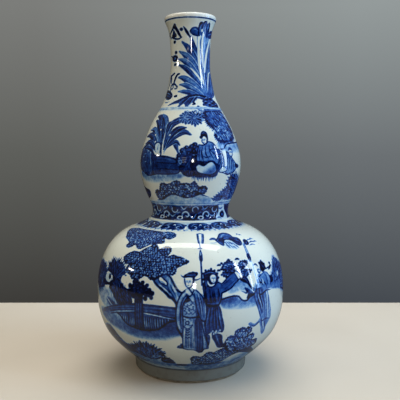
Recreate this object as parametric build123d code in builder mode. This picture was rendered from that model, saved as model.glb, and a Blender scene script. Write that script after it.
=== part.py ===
"""Double gourd vase of glazed porcelain, in millimetres.

The vase stands on z = 0 with its axis on Z. It is built as such vases are made: a foot ring and six thrown
sections, each with a stepped edge, luted to one another with rings of slip. The outside of the wall is one
outline from the foot to the lip, and the inside follows it at the wall's thickness.
"""

import os

from build123d import *

# Heights, each counted from the station below it
foot_height = 15.4
lower_bowl_rise = 71.6
lower_dome_rise = 82.0
upper_bowl_rise = 50.0
upper_dome_rise = 108.0
mouth_rise = 40.6

# Outer radii at those stations
foot_radius = 60.2
belly_radius = 99.0
waist_radius = 40.1
upper_belly_radius = 53.3
neck_radius = 20.4
lip_radius = 26.8

# Wall, floor and lip
wall = 4.6
floor_thickness = 8.0
floor_flat_radius = 40.0
lip_round = 2.4

# Foot ring
foot_ring_width = 11.4
foot_taper = 0.9
foot_bevel = 3.6
foot_inner_bevel = 1.2

# Collar at the waist, and the neck's length below its narrowest place
collar_drop = 7.5
collar_lift = 10.0
neck_drop = 54.5

# Luted joints: the step between two sections, the slip in it, how far the slip is scraped back from the
# outside, and the bead of slip that is squeezed out inside
step_height = 2.4
slip = 0.6
slip_scrape = 0.6
slip_bead = 1.7

# The outline between two stations, as shares of the change in radius and in height
lower_bowl_shares = [(0.295, 0.134), (0.505, 0.246), (0.74, 0.40), (0.92, 0.623)]
lower_dome_shares = [(0.041, 0.28), (0.175, 0.524), (0.40, 0.707), (0.63, 0.80), (0.85, 0.86), (0.972, 0.922)]
upper_bowl_shares = [(0.23, 0.22), (0.557, 0.42), (0.893, 0.72)]
upper_dome_shares = [(0.128, 0.194), (0.374, 0.38), (0.632, 0.5185), (0.842, 0.657), (0.942, 0.796)]
mouth_shares = [(0.11, 0.40), (0.25, 0.60), (0.53, 0.78), (0.87, 0.905)]
foot_flare = (1.0, 0.80)
inner_step_shares = [0.0, 0.2, 0.4, 0.6, 0.8]
inner_start_share = 0.3

# Stations of the outline
foot_top = (foot_radius, foot_height)
belly = (belly_radius, foot_top[1] + lower_bowl_rise)
waist = (waist_radius, belly[1] + lower_dome_rise)
upper_belly = (upper_belly_radius, waist[1] + upper_bowl_rise)
neck_waist = (neck_radius, upper_belly[1] + upper_dome_rise)
lip_edge = (lip_radius, neck_waist[1] + mouth_rise)
lip_top = (lip_radius - lip_round, lip_edge[1] + lip_round)
lip_inside = (lip_radius - 2 * lip_round, lip_edge[1])
floor_edge = (floor_flat_radius, foot_height + floor_thickness)
floor_centre = (0, foot_height + floor_thickness)
base_centre = (0, foot_height)
reach = 2 * belly_radius
upright = (0, 1)


def between(start, end, shares):
    """The outline's points from one station to the next."""
    width = end[0] - start[0]
    rise = end[1] - start[1]
    return [start, *[(start[0] + width * across, start[1] + rise * up) for across, up in shares], end]


def inside(edge, share):
    """The point of the inner wall that faces the outline at a share of one of its edges."""
    direction = edge.tangent_at(share)
    outward = Vector(direction.Y, -direction.X)
    return edge.position_at(share) - outward * wall


# The wall in section, radius along X and height along Y
with BuildSketch() as wall_section:
    with BuildLine():
        lower_bowl_line = Spline(*between(foot_top, belly, lower_bowl_shares), tangents=[foot_flare, upright])
        lower_dome_line = Spline(*between(belly, waist, lower_dome_shares), tangents=[upright, upright])
        upper_bowl_line = Spline(*between(waist, upper_belly, upper_bowl_shares), tangents=[upright, upright])
        upper_dome_line = Spline(*between(upper_belly, neck_waist, upper_dome_shares), tangents=[upright, upright])
        mouth_line = Spline(*between(neck_waist, lip_edge, mouth_shares), tangents=[upright, upright])
        ThreePointArc(lip_edge, lip_top, lip_inside)
        rising = [inside(lower_bowl_line, share) for share in inner_step_shares if share > inner_start_share]
        for line in (lower_dome_line, upper_bowl_line, upper_dome_line, mouth_line):
            rising += [inside(line, share) for share in inner_step_shares]
        Spline(floor_edge, *rising, lip_inside, tangents=[(1, 0), upright])
        Polyline(floor_edge, floor_centre, base_centre, foot_top)
    make_face()

wall_face = wall_section.sketch.face()


def wall_span(height):
    """The wall's inner and outer radius at a height."""
    cut = wall_face.intersect(Edge.make_line((0, height), (reach, height)))
    span = Compound(cut).bounding_box()
    return span.min.X, span.max.X


class LutedJoint:
    """A stepped joint across the wall: the section below keeps the inner half of the step.

    The step stands in the middle of the radii that the wall has at both of the step's heights.
    """

    def __init__(self, height):
        self.inner_height = height + step_height / 2
        self.outer_height = height - step_height / 2
        spans = [wall_span(self.inner_height), wall_span(self.outer_height)]
        self.inner_radius = spans[0][0]
        self.outer_radius = spans[1][1]
        shared = (max(low for low, high in spans), min(high for low, high in spans))
        self.middle = sum(shared) / 2

    def edge(self, shift, outer_end):
        """The step's line from the axis outwards, moved by shift away from the middle of the slip."""
        return [
            (0, self.inner_height + shift),
            (self.middle + shift, self.inner_height + shift),
            (self.middle + shift, self.outer_height + shift),
            (outer_end, self.outer_height + shift),
        ]

    def underside(self):
        """The top edge of the section under the slip."""
        return self.edge(-slip / 2, reach)

    def topside(self):
        """The bottom edge of the section over the slip."""
        return self.edge(slip / 2, reach)


belly_joint = LutedJoint(belly[1])
shoulder_joint = LutedJoint(waist[1] - collar_drop)
collar_joint = LutedJoint(waist[1] + collar_lift)
upper_belly_joint = LutedJoint(upper_belly[1])
neck_joint = LutedJoint(neck_waist[1] - neck_drop)


def wall_between(bottom, top):
    """Draws the wall between two lines, each from the axis outwards, in the sketch in hand."""
    add(wall_section.sketch)
    with BuildLine() as outline:
        Polyline(*bottom, *reversed(top), close=True)
    make_face(outline.edges(), mode=Mode.INTERSECT)


def squeezed_slip(joint):
    """The slip in a joint, scraped back outside, with its bead on the inner wall."""
    skin = joint.outer_radius - slip_scrape
    with BuildSketch() as layer:
        wall_between(joint.edge(-slip / 2, skin), joint.edge(slip / 2, skin))
    with BuildSketch() as profile:
        with Locations((joint.inner_radius, joint.inner_height)):
            Circle(slip_bead)
        add(wall_section.sketch, mode=Mode.SUBTRACT)
        add(layer.sketch)
    return profile.sketch


belly_slip_profile = squeezed_slip(belly_joint)
shoulder_slip_profile = squeezed_slip(shoulder_joint)
collar_slip_profile = squeezed_slip(collar_joint)
upper_belly_slip_profile = squeezed_slip(upper_belly_joint)
neck_slip_profile = squeezed_slip(neck_joint)

# Foot ring, bevelled where the glaze is wiped off, under the base
with BuildPart() as foot_ring:
    with BuildSketch(Plane.XZ):
        with BuildLine():
            Polyline(
                (foot_radius, foot_height - slip),
                (foot_radius - foot_taper, foot_bevel),
                (foot_radius - foot_taper - foot_bevel, 0),
                (foot_radius - foot_ring_width + foot_inner_bevel, 0),
                (foot_radius - foot_ring_width, foot_inner_bevel),
                (foot_radius - foot_ring_width, foot_height - slip),
                close=True,
            )
        make_face()
    revolve(axis=Axis.Z)

# Lower half of the lower bulb, with the floor
with BuildPart() as lower_bowl:
    with BuildSketch(Plane.XZ):
        wall_between([(0, 0), (reach, 0)], belly_joint.underside())
    revolve(axis=Axis.Z)

# Upper half of the lower bulb, up to the collar
with BuildPart() as lower_dome:
    with BuildSketch(Plane.XZ):
        wall_between(belly_joint.topside(), shoulder_joint.underside())
    revolve(axis=Axis.Z)

# Collar at the waist, between the bulbs
with BuildPart() as waist_collar:
    with BuildSketch(Plane.XZ):
        wall_between(shoulder_joint.topside(), collar_joint.underside())
    revolve(axis=Axis.Z)

# Lower half of the upper bulb
with BuildPart() as upper_bowl:
    with BuildSketch(Plane.XZ):
        wall_between(collar_joint.topside(), upper_belly_joint.underside())
    revolve(axis=Axis.Z)

# Upper half of the upper bulb
with BuildPart() as upper_dome:
    with BuildSketch(Plane.XZ):
        wall_between(upper_belly_joint.topside(), neck_joint.underside())
    revolve(axis=Axis.Z)

# Neck with the rounded lip
with BuildPart() as neck:
    with BuildSketch(Plane.XZ):
        wall_between(neck_joint.topside(), [(0, 2 * lip_top[1]), (reach, 2 * lip_top[1])])
    revolve(axis=Axis.Z)

# Slip between the base and the foot ring, with its bead in the corner inside the ring
with BuildPart() as foot_slip:
    with BuildSketch(Plane.XZ):
        with BuildLine():
            Polyline(
                (foot_radius - slip_scrape, foot_height - slip),
                (foot_radius - slip_scrape, foot_height),
                (foot_radius - foot_ring_width - slip_bead, foot_height),
                (foot_radius - foot_ring_width, foot_height - slip - slip_bead),
                (foot_radius - foot_ring_width, foot_height - slip),
                close=True,
            )
        make_face()
    revolve(axis=Axis.Z)

# Slip at the widest place of the lower bulb
with BuildPart() as belly_slip:
    with BuildSketch(Plane.XZ):
        add(belly_slip_profile)
    revolve(axis=Axis.Z)

# Slip under the collar
with BuildPart() as shoulder_slip:
    with BuildSketch(Plane.XZ):
        add(shoulder_slip_profile)
    revolve(axis=Axis.Z)

# Slip over the collar
with BuildPart() as collar_slip:
    with BuildSketch(Plane.XZ):
        add(collar_slip_profile)
    revolve(axis=Axis.Z)

# Slip at the widest place of the upper bulb
with BuildPart() as upper_belly_slip:
    with BuildSketch(Plane.XZ):
        add(upper_belly_slip_profile)
    revolve(axis=Axis.Z)

# Slip at the foot of the neck
with BuildPart() as neck_slip:
    with BuildSketch(Plane.XZ):
        add(neck_slip_profile)
    revolve(axis=Axis.Z)

pieces = {
    "foot_ring": foot_ring,
    "lower_bowl": lower_bowl,
    "lower_dome": lower_dome,
    "waist_collar": waist_collar,
    "upper_bowl": upper_bowl,
    "upper_dome": upper_dome,
    "neck": neck,
    "foot_slip": foot_slip,
    "belly_slip": belly_slip,
    "shoulder_slip": shoulder_slip,
    "collar_slip": collar_slip,
    "upper_belly_slip": upper_belly_slip,
    "neck_slip": neck_slip,
}

os.makedirs("parts", exist_ok=True)
for name, piece in pieces.items():
    piece.part.label = name
    export_step(piece.part, f"parts/{name}.step")
    print(name, "solids", len(piece.part.solids()), "volume", round(piece.part.volume))
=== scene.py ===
"""Double gourd vase of painted porcelain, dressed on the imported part.

The cobalt painting is drawn stroke by stroke on unrolled strips of the surface, in millimetres round the vase
and up its outline. Each section of the wall is then turned from its own CAD profile, with enough points to
hold the strokes, and the glaze's nodes colour it by how much cobalt lies at each point.
"""
import math
from collections import namedtuple

import bmesh
import bpy
import numpy as np
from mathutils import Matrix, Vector


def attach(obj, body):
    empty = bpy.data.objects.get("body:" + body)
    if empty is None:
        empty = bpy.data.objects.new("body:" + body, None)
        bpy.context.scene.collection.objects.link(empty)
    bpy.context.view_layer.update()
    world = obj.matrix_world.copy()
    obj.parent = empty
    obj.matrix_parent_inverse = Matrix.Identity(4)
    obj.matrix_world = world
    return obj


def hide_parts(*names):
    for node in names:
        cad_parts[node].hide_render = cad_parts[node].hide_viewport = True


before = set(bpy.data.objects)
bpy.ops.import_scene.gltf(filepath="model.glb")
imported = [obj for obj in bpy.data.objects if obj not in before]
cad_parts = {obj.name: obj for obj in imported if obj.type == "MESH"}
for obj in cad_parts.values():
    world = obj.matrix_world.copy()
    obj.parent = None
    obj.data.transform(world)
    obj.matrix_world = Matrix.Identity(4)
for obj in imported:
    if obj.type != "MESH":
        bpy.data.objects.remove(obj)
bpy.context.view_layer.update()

# Tones of the cobalt, from the fullest blue to the bare glaze
NAVY = 1.0
DARK = 0.88
DEEP = 0.74
MID = 0.56
SOFT = 0.40
PALE = 0.24
FAINT = 0.12
BARE = 0.0

# Side of one cell of a painted strip, the thinnest stroke, and how far off a path's direction is taken, in mm
CELL = 0.25
THINNEST = 0.12
NEARBY = 0.3

# The least width of the surface as a share of a strip's, and the part of a ring's radius where it can be open
NARROWEST_SHARE = 0.2
OPEN_SHARE = 0.35

# The distance between rows of scattered places, as a share of their pitch
ROW_SHARE = 0.87

# How far a feathered edge reaches, as a multiple of its feather
FEATHER_REACH = 2.2

# How many links of a path are drawn at once, and how many points a straight stroke and a hoop have
LINKS_AT_ONCE = 6
STRAIGHT_POINTS = 7
HOOP_POINTS = 160
BELLY_HOOP_POINTS = 180
NECK_HOOP_POINTS = 120

# A stroke's share of its width, from its first point, where t is 0, to its last, where t is 1
STROKE_SHARES = {
    "round": lambda t: np.ones_like(t),
    "leaf": lambda t: np.sin(math.pi * np.clip(t, 0.02, 0.98)) ** 0.7,
    "tail": lambda t: np.clip(1 - t, 0.05, 1) ** 0.6,
    "root": lambda t: np.clip(t, 0.05, 1) ** 0.6,
    "brush": lambda t: 0.7 + 0.5 * np.sin(math.pi * t),
}


def smooth(points, closed=False, pieces=6):
    """Points along a Catmull-Rom curve through the given points."""
    p = np.array(points, float)
    if closed:
        p = np.vstack([p[-1:], p, p[:2]])
    else:
        p = np.vstack([2 * p[0] - p[1], p, 2 * p[-1] - p[-2]])
    a, b, c, d = (p[i:len(p) - 3 + i, None] for i in range(4))
    t = (np.arange(pieces) / pieces)[None, :, None]
    curve = 0.5 * (2 * b + (c - a) * t + (2 * a - 5 * b + 4 * c - d) * t**2 + (3 * b - a - 3 * c + d) * t**3)
    curve = curve.reshape(-1, 2)
    return curve if closed else np.vstack([curve, p[-2]])


def evenly(path, spacing):
    """Points at even steps along a path, and the direction at each."""
    step = np.hypot(*np.diff(path, axis=0).T)
    run = np.concatenate([[0], np.cumsum(step)])
    at = np.linspace(0, run[-1], max(2, int(run[-1] / spacing) + 1))

    def on_path(length):
        return np.stack([np.interp(length, run, path[:, 0]), np.interp(length, run, path[:, 1])], 1)

    direction = on_path(at + NEARBY) - on_path(at - NEARBY)
    return on_path(at), direction / np.maximum(np.hypot(*direction.T), 1e-9)[:, None]


def within(points, polygon):
    """Which of the points lie inside a polygon."""
    x, y = points[:, 0, None], points[:, 1, None]
    x0, y0 = polygon[:, 0], polygon[:, 1]
    x1, y1 = np.roll(x0, -1), np.roll(y0, -1)
    crosses = (y0 <= y) != (y1 <= y)
    with np.errstate(divide="ignore", invalid="ignore"):
        at = x0 + (y - y0) / (y1 - y0) * (x1 - x0)
    return (crosses & (at > x)).sum(1) % 2 == 1


def spread(cover, cells):
    """A coverage blurred twice by a box of so many cells each way."""
    size = 2 * cells + 1
    for axis in (0, 1, 0, 1):
        pad = [(0, 0), (0, 0)]
        pad[axis] = (cells + 1, cells)
        total = np.cumsum(np.pad(cover, pad, mode="edge"), axis=axis)
        high = np.take(total, np.arange(size, total.shape[axis]), axis=axis)
        low = np.take(total, np.arange(0, total.shape[axis] - size), axis=axis)
        cover = (high - low) / size
    return cover


def nudged(path, across, up=0.0):
    """A path moved to the side and up."""
    return [(x + across, s + up) for x, s in path]


def away_from(root):
    """The angle at a place that points away from a root, as a function of x and s."""
    return lambda x, s: math.atan2(s - root[1], x - root[0])


def fade(low, low_tone, high, high_tone):
    """A tone that changes evenly up the surface, as a function of x and s."""
    return lambda x, s: np.clip((s - low) / (high - low), 0, 1) * (high_tone - low_tone) + low_tone + 0 * x


class Sheet:
    """A strip of the surface: x runs round the vase in mm at a reference radius, s up its outline in mm."""

    def __init__(self, radius, low, high, seed):
        self.radius = radius
        self.around = 2 * math.pi * radius
        self.low = low
        self.columns = round(self.around / CELL)
        self.rows = math.ceil((high - low) / CELL)
        self.step = self.around / self.columns
        self.tone = np.zeros((self.rows, self.columns), np.float32)
        self.random = np.random.default_rng(seed)

    def squeeze(self, s):
        """The width of the surface at a height, as a share of the strip's."""
        return max(NARROWEST_SHARE, float(radius_at(s)) / self.radius)

    def window(self, points, margin):
        """The cells round the points: their place in the strip, their x in a row and their s in a column."""
        low = points.min(0) - margin
        high = points.max(0) + margin
        columns = np.arange(math.floor(low[0] / self.step), math.ceil(high[0] / self.step) + 1)
        first = max(0, math.floor((low[1] - self.low) / CELL))
        rows = np.arange(first, max(first, min(self.rows, math.ceil((high[1] - self.low) / CELL) + 1)))
        x = (columns + 0.5) * self.step
        s = self.low + (rows + 0.5) * CELL
        return np.ix_(rows, columns % self.columns), x[None, :], s[:, None]

    def lay(self, place, cover, tone):
        """Paints cells with a tone, by how far each is covered."""
        under = self.tone[place]
        self.tone[place] = under + cover * (tone - under)

    def area(self, points, tone, feather=0.0, strength=1.0):
        """Fills a closed outline. The tone is a number or a function of x and s."""
        margin = FEATHER_REACH * feather + 2 * CELL
        place, x, s = self.window(points, np.array([margin, margin]))
        if not x.size or not s.size:
            return
        x0, s0 = points[:, 0], points[:, 1]
        x1, s1 = np.roll(x0, -1), np.roll(s0, -1)
        crosses = (s0 <= s) != (s1 <= s)
        with np.errstate(divide="ignore", invalid="ignore"):
            at = np.where(crosses, x0 + (s - s0) / (s1 - s0) * (x1 - x0), np.inf)
        at = np.sort(at, axis=1)[:, : crosses.sum(1).max(initial=0)]
        cover = np.zeros((s.size, x.size))
        for k in range(at.shape[1]):
            cover += (-1) ** k * np.clip((x + self.step / 2 - at[:, k, None]) / self.step, 0, 1)
        if feather:
            cover = spread(cover, max(1, round(feather / CELL)))
        self.lay(place, cover * strength, tone(x, s) if callable(tone) else tone)

    def line(self, points, widths, tone):
        """Draws a path whose width varies from point to point."""
        for first in range(0, len(points) - 1, LINKS_AT_ONCE):
            part = points[first:first + LINKS_AT_ONCE + 1]
            wide = widths[first:first + LINKS_AT_ONCE + 1]
            g = self.squeeze(part[:, 1].mean())
            reach = wide.max() / 2 + CELL
            place, x, s = self.window(part, np.array([reach / g, reach]))
            if not x.size or not s.size:
                continue
            a = part[:-1, :, None, None]
            d = (part[1:] - part[:-1])[:, :, None, None]
            px, py = (x[None] - a[:, 0]) * g, s[None] - a[:, 1]
            dx, dy = d[:, 0] * g, d[:, 1]
            along = np.clip((px * dx + py * dy) / np.maximum(dx * dx + dy * dy, 1e-9), 0, 1)
            off = np.hypot(px - along * dx, py - along * dy)
            half = (wide[:-1, None, None] + np.diff(wide)[:, None, None] * along) / 2
            cover = np.clip((half - off) / CELL + 0.5, 0, 1).max(0)
            self.lay(place, cover, tone)

    def hoop(self, s, width, tone, points=HOOP_POINTS):
        """Draws a line all the way round the vase."""
        path = np.stack([np.linspace(0, self.around, points), np.full(points, s)], 1)
        self.line(path, np.full(points, width), tone)

    def dot(self, centre, radius, tone, tall=1.0, turn=0.0):
        """Draws a dot, or an ellipse that is so many times as tall as wide, turned by an angle."""
        g = self.squeeze(centre[1])
        reach = radius * max(1, tall) + CELL
        place, x, s = self.window(centre[None], np.array([reach / g, reach]))
        if not x.size or not s.size:
            return
        px, py = (x - centre[0]) * g, s - centre[1]
        c, n = math.cos(turn), math.sin(turn)
        off = np.hypot(px * c + py * n, (py * c - px * n) / tall)
        self.lay(place, np.clip((radius - off) / CELL + 0.5, 0, 1), tone)

    def ring(self, centre, radius, width, tone, opening=None):
        """Draws a ring, left open at an angle where one is given."""
        g = self.squeeze(centre[1])
        reach = radius + width + CELL
        place, x, s = self.window(centre[None], np.array([reach / g, reach]))
        if not x.size or not s.size:
            return
        px, py = (x - centre[0]) * g, s - centre[1]
        off = np.abs(np.hypot(px, py) - radius)
        cover = np.clip((width / 2 - off) / CELL + 0.5, 0, 1)
        if opening is not None:
            cover = cover * (px * math.cos(opening) + py * math.sin(opening) < OPEN_SHARE * radius)
        self.lay(place, cover, tone)


class Brush:
    """Paints with points given in a motif's own frame, which can be moved and turned over."""

    def __init__(self, sheet, across=0.0, up=0.0, flip=1):
        self.sheet = sheet
        self.across = across
        self.up = up
        self.flip = flip
        self.random = sheet.random

    def moved(self, across=0.0, up=0.0, flip=1):
        """A brush for a motif that is moved, and turned over where flip is -1."""
        return Brush(self.sheet, self.across + self.flip * across, self.up + up, self.flip * flip)

    def place(self, points):
        """The motif's points as places on the strip."""
        return np.array(points, float) * [self.flip, 1] + [self.across, self.up]

    def area(self, points, tone, feather=0.0, strength=1.0, curved=True):
        """Fills a closed outline. The tone is a number or a function of the motif's x and s."""
        outline = self.place(points)
        if curved:
            outline = smooth(outline, True)
        self.sheet.area(outline, self.own(tone), feather, strength)

    def own(self, tone):
        """A tone of the motif's x and s as one of the strip's."""
        if not callable(tone):
            return tone
        return lambda x, s: tone((x - self.across) / self.flip, s - self.up)

    def line(self, points, width, tone, ends="round", curved=True):
        """Draws a path whose ends are one of the kinds in STROKE_SHARES."""
        path = self.place(points)
        if len(path) == 2:
            t = np.linspace(0, 1, STRAIGHT_POINTS)
            path = path[0] + (path[1] - path[0]) * t[:, None]
        else:
            path = smooth(path) if curved else path
            t = np.linspace(0, 1, len(path))
        self.sheet.line(path, np.maximum(width * STROKE_SHARES[ends](t), THINNEST), tone)

    def lines(self, paths, width, tone, ends="round"):
        """Draws several paths with one stroke."""
        for path in paths:
            self.line(path, width, tone, ends)

    def outline(self, points, width, tone, curved=True):
        """Draws a closed path."""
        self.line([*points, points[0]], width, tone, "round", curved)

    def shape(self, points, tone, width, edge=NAVY):
        """Fills a closed outline and draws it."""
        self.area(points, tone)
        self.outline(points, width, edge)

    def dot(self, x, s, radius, tone, tall=1.0, turn=0.0):
        """Draws a dot, or an ellipse that is so many times as tall as wide, turned by an angle."""
        self.sheet.dot(self.place([[x, s]])[0], radius, tone, tall, self.flip * turn)

    def dots(self, places, radius, tone, tall=1.0, turn=0.0):
        """Draws several equal dots."""
        for x, s in places:
            self.dot(x, s, radius, tone, tall, turn)

    def ring(self, x, s, radius, width, tone, opening=None):
        """Draws a ring, left open at an angle where one is given."""
        if opening is not None and self.flip < 0:
            opening = math.pi - opening
        self.sheet.ring(self.place([[x, s]])[0], radius, width, tone, opening)

    def scatter(self, points, pitch, jitter=0.25):
        """Places on a loose grid inside an outline, in the motif's frame."""
        outline = smooth(points, True)
        low, high = outline.min(0), outline.max(0)
        found = [np.zeros((0, 2))]
        for row, s in enumerate(np.arange(low[1] + pitch / 2, high[1], pitch * ROW_SHARE)):
            g = self.sheet.squeeze(s + self.up)
            xs = np.arange(low[0] + pitch / g * (0.5 + 0.5 * (row % 2)), high[0], pitch / g)
            if not len(xs):
                continue
            spots = np.stack([xs, np.full(len(xs), s)], 1)
            spots += self.random.uniform(-jitter, jitter, spots.shape) * [pitch / g, pitch]
            found.append(spots[within(spots, outline)])
        return np.concatenate(found)

    def rim(self, points, spacing):
        """Places along a closed outline, with the direction out of it at each."""
        path = smooth([*points, points[0]])
        turn = np.sum(path[:-1, 0] * path[1:, 1] - path[1:, 0] * path[:-1, 1])
        spots, ahead = evenly(path, spacing)
        out = np.stack([ahead[:, 1], -ahead[:, 0]], 1) * (1 if turn > 0 else -1)
        return zip(spots[:-1], out[:-1])


# Pieces turned from the sections of the CAD nodes, in millimetres

MM = 0.001

# Wall nodes from the foot up: how many points they have round the vase, and the step up the outline
WALL_NODES = {
    "lower_bowl": (1040, 0.6),
    "lower_dome": (1040, 0.6),
    "waist_collar": (640, 0.5),
    "upper_bowl": (640, 0.5),
    "upper_dome": (640, 0.5),
    "neck": (440, 0.45),
}
OUTLINE_STEP = 0.5
COARSE_STEP = 3.0
LIP_STEP = 1.5
GLAZE_IN_SEAM = 0.6
SHORTEST_OUTSIDE = 5
SAME_PLACE = 1e-4
CORNER = math.radians(30)
FEWEST_CURVED = 5

# The grid on which the section's points are compared: its steps to a metre, and one step in millimetres
GRID_PER_METRE = 1e7
GRID_STEP = 1e-4

# How near a mesh point has to be to the section's plane to lie on it, and how far from the axis, in metres
ON_PLANE = 1e-7
ON_AXIS = 1e-6

# The height of a point that isn't on the outline
OFF_OUTLINE = -1

# The bake map: each half of a piece fills half of the map, inside a margin, and hidden faces get less of it
HIDDEN_SHARE = 0.25
MAP_MARGIN = 0.004
MAP_WIDTH = 0.992
MAP_TOP = 0.49
MAP_HALF = 0.5
MAP_POLES = (0.002, 0.498)


def section(node):
    """The line (radius, height) where a mesh meets the half plane y = 0, x > 0, and whether it is closed."""
    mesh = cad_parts[node].data
    places = np.empty(3 * len(mesh.vertices))
    mesh.vertices.foreach_get("co", places)
    places = places.reshape(-1, 3)
    ends = np.empty(2 * len(mesh.edges), int)
    mesh.edges.foreach_get("vertices", ends)
    ends = ends.reshape(-1, 2)
    on_plane = (np.abs(places[:, 1]) < ON_PLANE) & (places[:, 0] > ON_AXIS)
    spots = [tuple(p) for p in np.round(places[:, [0, 2]] * GRID_PER_METRE).astype(int).tolist()]
    links = {}
    for a, b in ends[on_plane[ends].all(1)]:
        if spots[a] != spots[b]:
            links.setdefault(spots[a], set()).add(spots[b])
            links.setdefault(spots[b], set()).add(spots[a])
    loose = [spot for spot, near in links.items() if len(near) == 1]
    chain = [min(loose or links)]
    while True:
        ahead = [spot for spot in sorted(links[chain[-1]]) if spot not in chain]
        if not ahead:
            break
        chain.append(ahead[0])
    return np.array(chain) * GRID_STEP, not loose


def runs_of(chain, closed):
    """The chain cut at its corners, as a list of runs that share their end points."""
    ahead = np.roll(chain, -1, axis=0) - chain
    behind = chain - np.roll(chain, 1, axis=0)
    turn = np.abs(np.arctan2(behind[:, 0] * ahead[:, 1] - behind[:, 1] * ahead[:, 0],
                             (behind * ahead).sum(1)))
    corners = np.flatnonzero(turn > CORNER)
    if closed:
        chain = np.roll(chain, -corners[0], axis=0)
        corners = np.append(corners - corners[0], len(chain))
        chain = np.vstack([chain, chain[:1]])
    else:
        corners = np.unique(np.concatenate([[0], corners, [len(chain) - 1]]))
    return [chain[a:b + 1] for a, b in zip(corners[:-1], corners[1:])]


def lengths_along(points):
    """The length of a path up to each of its points."""
    return np.concatenate([[0], np.cumsum(np.hypot(*np.diff(points, axis=0).T))])


class Curve:
    """A smooth curve through points of a section, by length along it."""

    def __init__(self, points):
        self.points = points
        self.length = lengths_along(points)
        h = np.diff(self.length)
        system = np.eye(len(points))
        right = np.zeros((len(points), 2))
        slopes = np.diff(points, axis=0) / h[:, None]
        for i in range(1, len(points) - 1):
            system[i, i - 1:i + 2] = h[i - 1], 2 * (h[i - 1] + h[i]), h[i]
            right[i] = 6 * (slopes[i] - slopes[i - 1])
        self.bend = np.linalg.solve(system, right)

    def __call__(self, at):
        at = np.atleast_1d(at)
        i = np.clip(np.searchsorted(self.length, at) - 1, 0, len(self.points) - 2)
        h = self.length[i + 1] - self.length[i]
        a = ((self.length[i + 1] - at) / h)[:, None]
        b = 1 - a
        bend = (a**3 - a) * self.bend[i] + (b**3 - b) * self.bend[i + 1]
        return a * self.points[i] + b * self.points[i + 1] + bend * (h**2 / 6)[:, None]


def oriented(node):
    """A node's runs in order, from its outer run, which rises, over its top and down its inside."""
    chain, closed = section(node)
    runs = runs_of(chain, closed)
    long_runs = [k for k, run in enumerate(runs) if lengths_along(run)[-1] > SHORTEST_OUTSIDE]
    outer = max(long_runs, key=lambda k: runs[k][:, 0].mean())
    if runs[outer][0, 1] > runs[outer][-1, 1]:
        runs = [run[::-1] for run in reversed(runs)]
        outer = len(runs) - 1 - outer
    return runs[outer:] + (runs[:outer] if closed else []), closed


sections = {node: oriented(node) for node in WALL_NODES}
outer_runs = [runs[0] for runs, closed in sections.values()]
wall_line = Curve(np.vstack(outer_runs))
outer_ends = np.cumsum([len(run) for run in outer_runs])
seams = [(wall_line.length[k - 1] + wall_line.length[k]) / 2 for k in outer_ends[:-1]]
spans = list(zip([0.0, *seams], [*seams, wall_line.length[-1]]))
finely = np.arange(0, wall_line.length[-1], OUTLINE_STEP)
finely_radius = wall_line(finely)[:, 0]


def radius_at(s):
    """The radius of the vase at a length up its outline."""
    return np.interp(s, finely, finely_radius)


# A point of a turned piece, if it is a sharp corner, its length up the outline, and its share of the map
Row = namedtuple("Row", "place sharp height share")


class Profile:
    """The rows of points of a turned piece."""

    def __init__(self):
        self.rows = []

    def add(self, points, heights=None, share=HIDDEN_SHARE):
        """Adds a smooth run between two sharp corners, with its lengths up the outline if it is outside."""
        if heights is None:
            heights = [OFF_OUTLINE] * len(points)
        for k, point in enumerate(points):
            last = self.rows[-1] if self.rows else None
            if last and np.hypot(*(last.place - point)) < SAME_PLACE:
                self.rows[-1] = Row(last.place, True, max(last.height, heights[k]), max(share, last.share))
            else:
                self.rows.append(Row(np.array(point, float), k in (0, len(points) - 1), heights[k], share))


def coarsely(run):
    """A hidden or inner run, resampled if it is curved."""
    if len(run) < FEWEST_CURVED:
        return run
    curve = Curve(run)
    count = max(2, math.ceil(curve.length[-1] / COARSE_STEP))
    return curve(np.linspace(0, curve.length[-1], count + 1))


def stepped(low, high, step):
    """Lengths from low to high at even steps no longer than step."""
    return np.linspace(low, high, math.ceil((high - low) / step) + 1)


def wall_profile(node, span, step):
    """The profile of a wall node, with glaze over the half of each seam beside it."""
    runs, closed = sections[node]
    low, high = span
    profile = Profile()
    if node == "neck":
        along = lengths_along(runs[0])
        top_of_lip = wall_line.length[-1] - along[-1] + along[runs[0][:, 1].argmax()]
        heights = np.concatenate([stepped(low, top_of_lip, step), stepped(top_of_lip, high, LIP_STEP)[1:]])
    else:
        heights = stepped(low, high, step)
    outside = wall_line(heights)
    profile.add(outside, heights, 1.0)
    if node != "neck":
        rim = outside[-1]
        seam = [rim[0] - GLAZE_IN_SEAM, runs[1][0, 1]]
        profile.add([rim, rim - [GLAZE_IN_SEAM, 0], seam])
    for k, run in enumerate(runs[1:]):
        rest = coarsely(run)
        if k == 0 and node != "neck":
            rest = np.vstack([[seam], rest[1:]])
        if closed and k == len(runs) - 2:
            rest = np.vstack([rest[:-1], [outside[0][0] - GLAZE_IN_SEAM, run[-1, 1]]])
        profile.add(rest)
    if closed:
        foot = outside[0]
        edge = profile.rows[-1].place[1]
        profile.add([[foot[0] - GLAZE_IN_SEAM, edge], foot - [GLAZE_IN_SEAM, 0]])
    return profile, closed


def shares_up(rows, points, closed):
    """How far up the bake map each row of a profile stands."""
    along = np.hypot(*(np.roll(points, -1, axis=0) - points).T)
    shares = np.array([row.share for row in rows])
    weight = np.where(shares == np.roll(shares, -1), shares, HIDDEN_SHARE)
    up = np.concatenate([[0], np.cumsum(along * weight)])
    if not closed:
        up = up[:-1]
    return MAP_MARGIN + up / up[-1] * (MAP_TOP - MAP_MARGIN)


def map_columns(columns):
    """The left and right edge of each column of faces on the bake map, and how far up its half begins."""
    j = np.arange(columns)
    half = columns // 2
    side = j // half
    left = MAP_MARGIN + (j - side * half) / half * MAP_WIDTH
    return left, left + MAP_WIDTH / half, side * MAP_HALF


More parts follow.
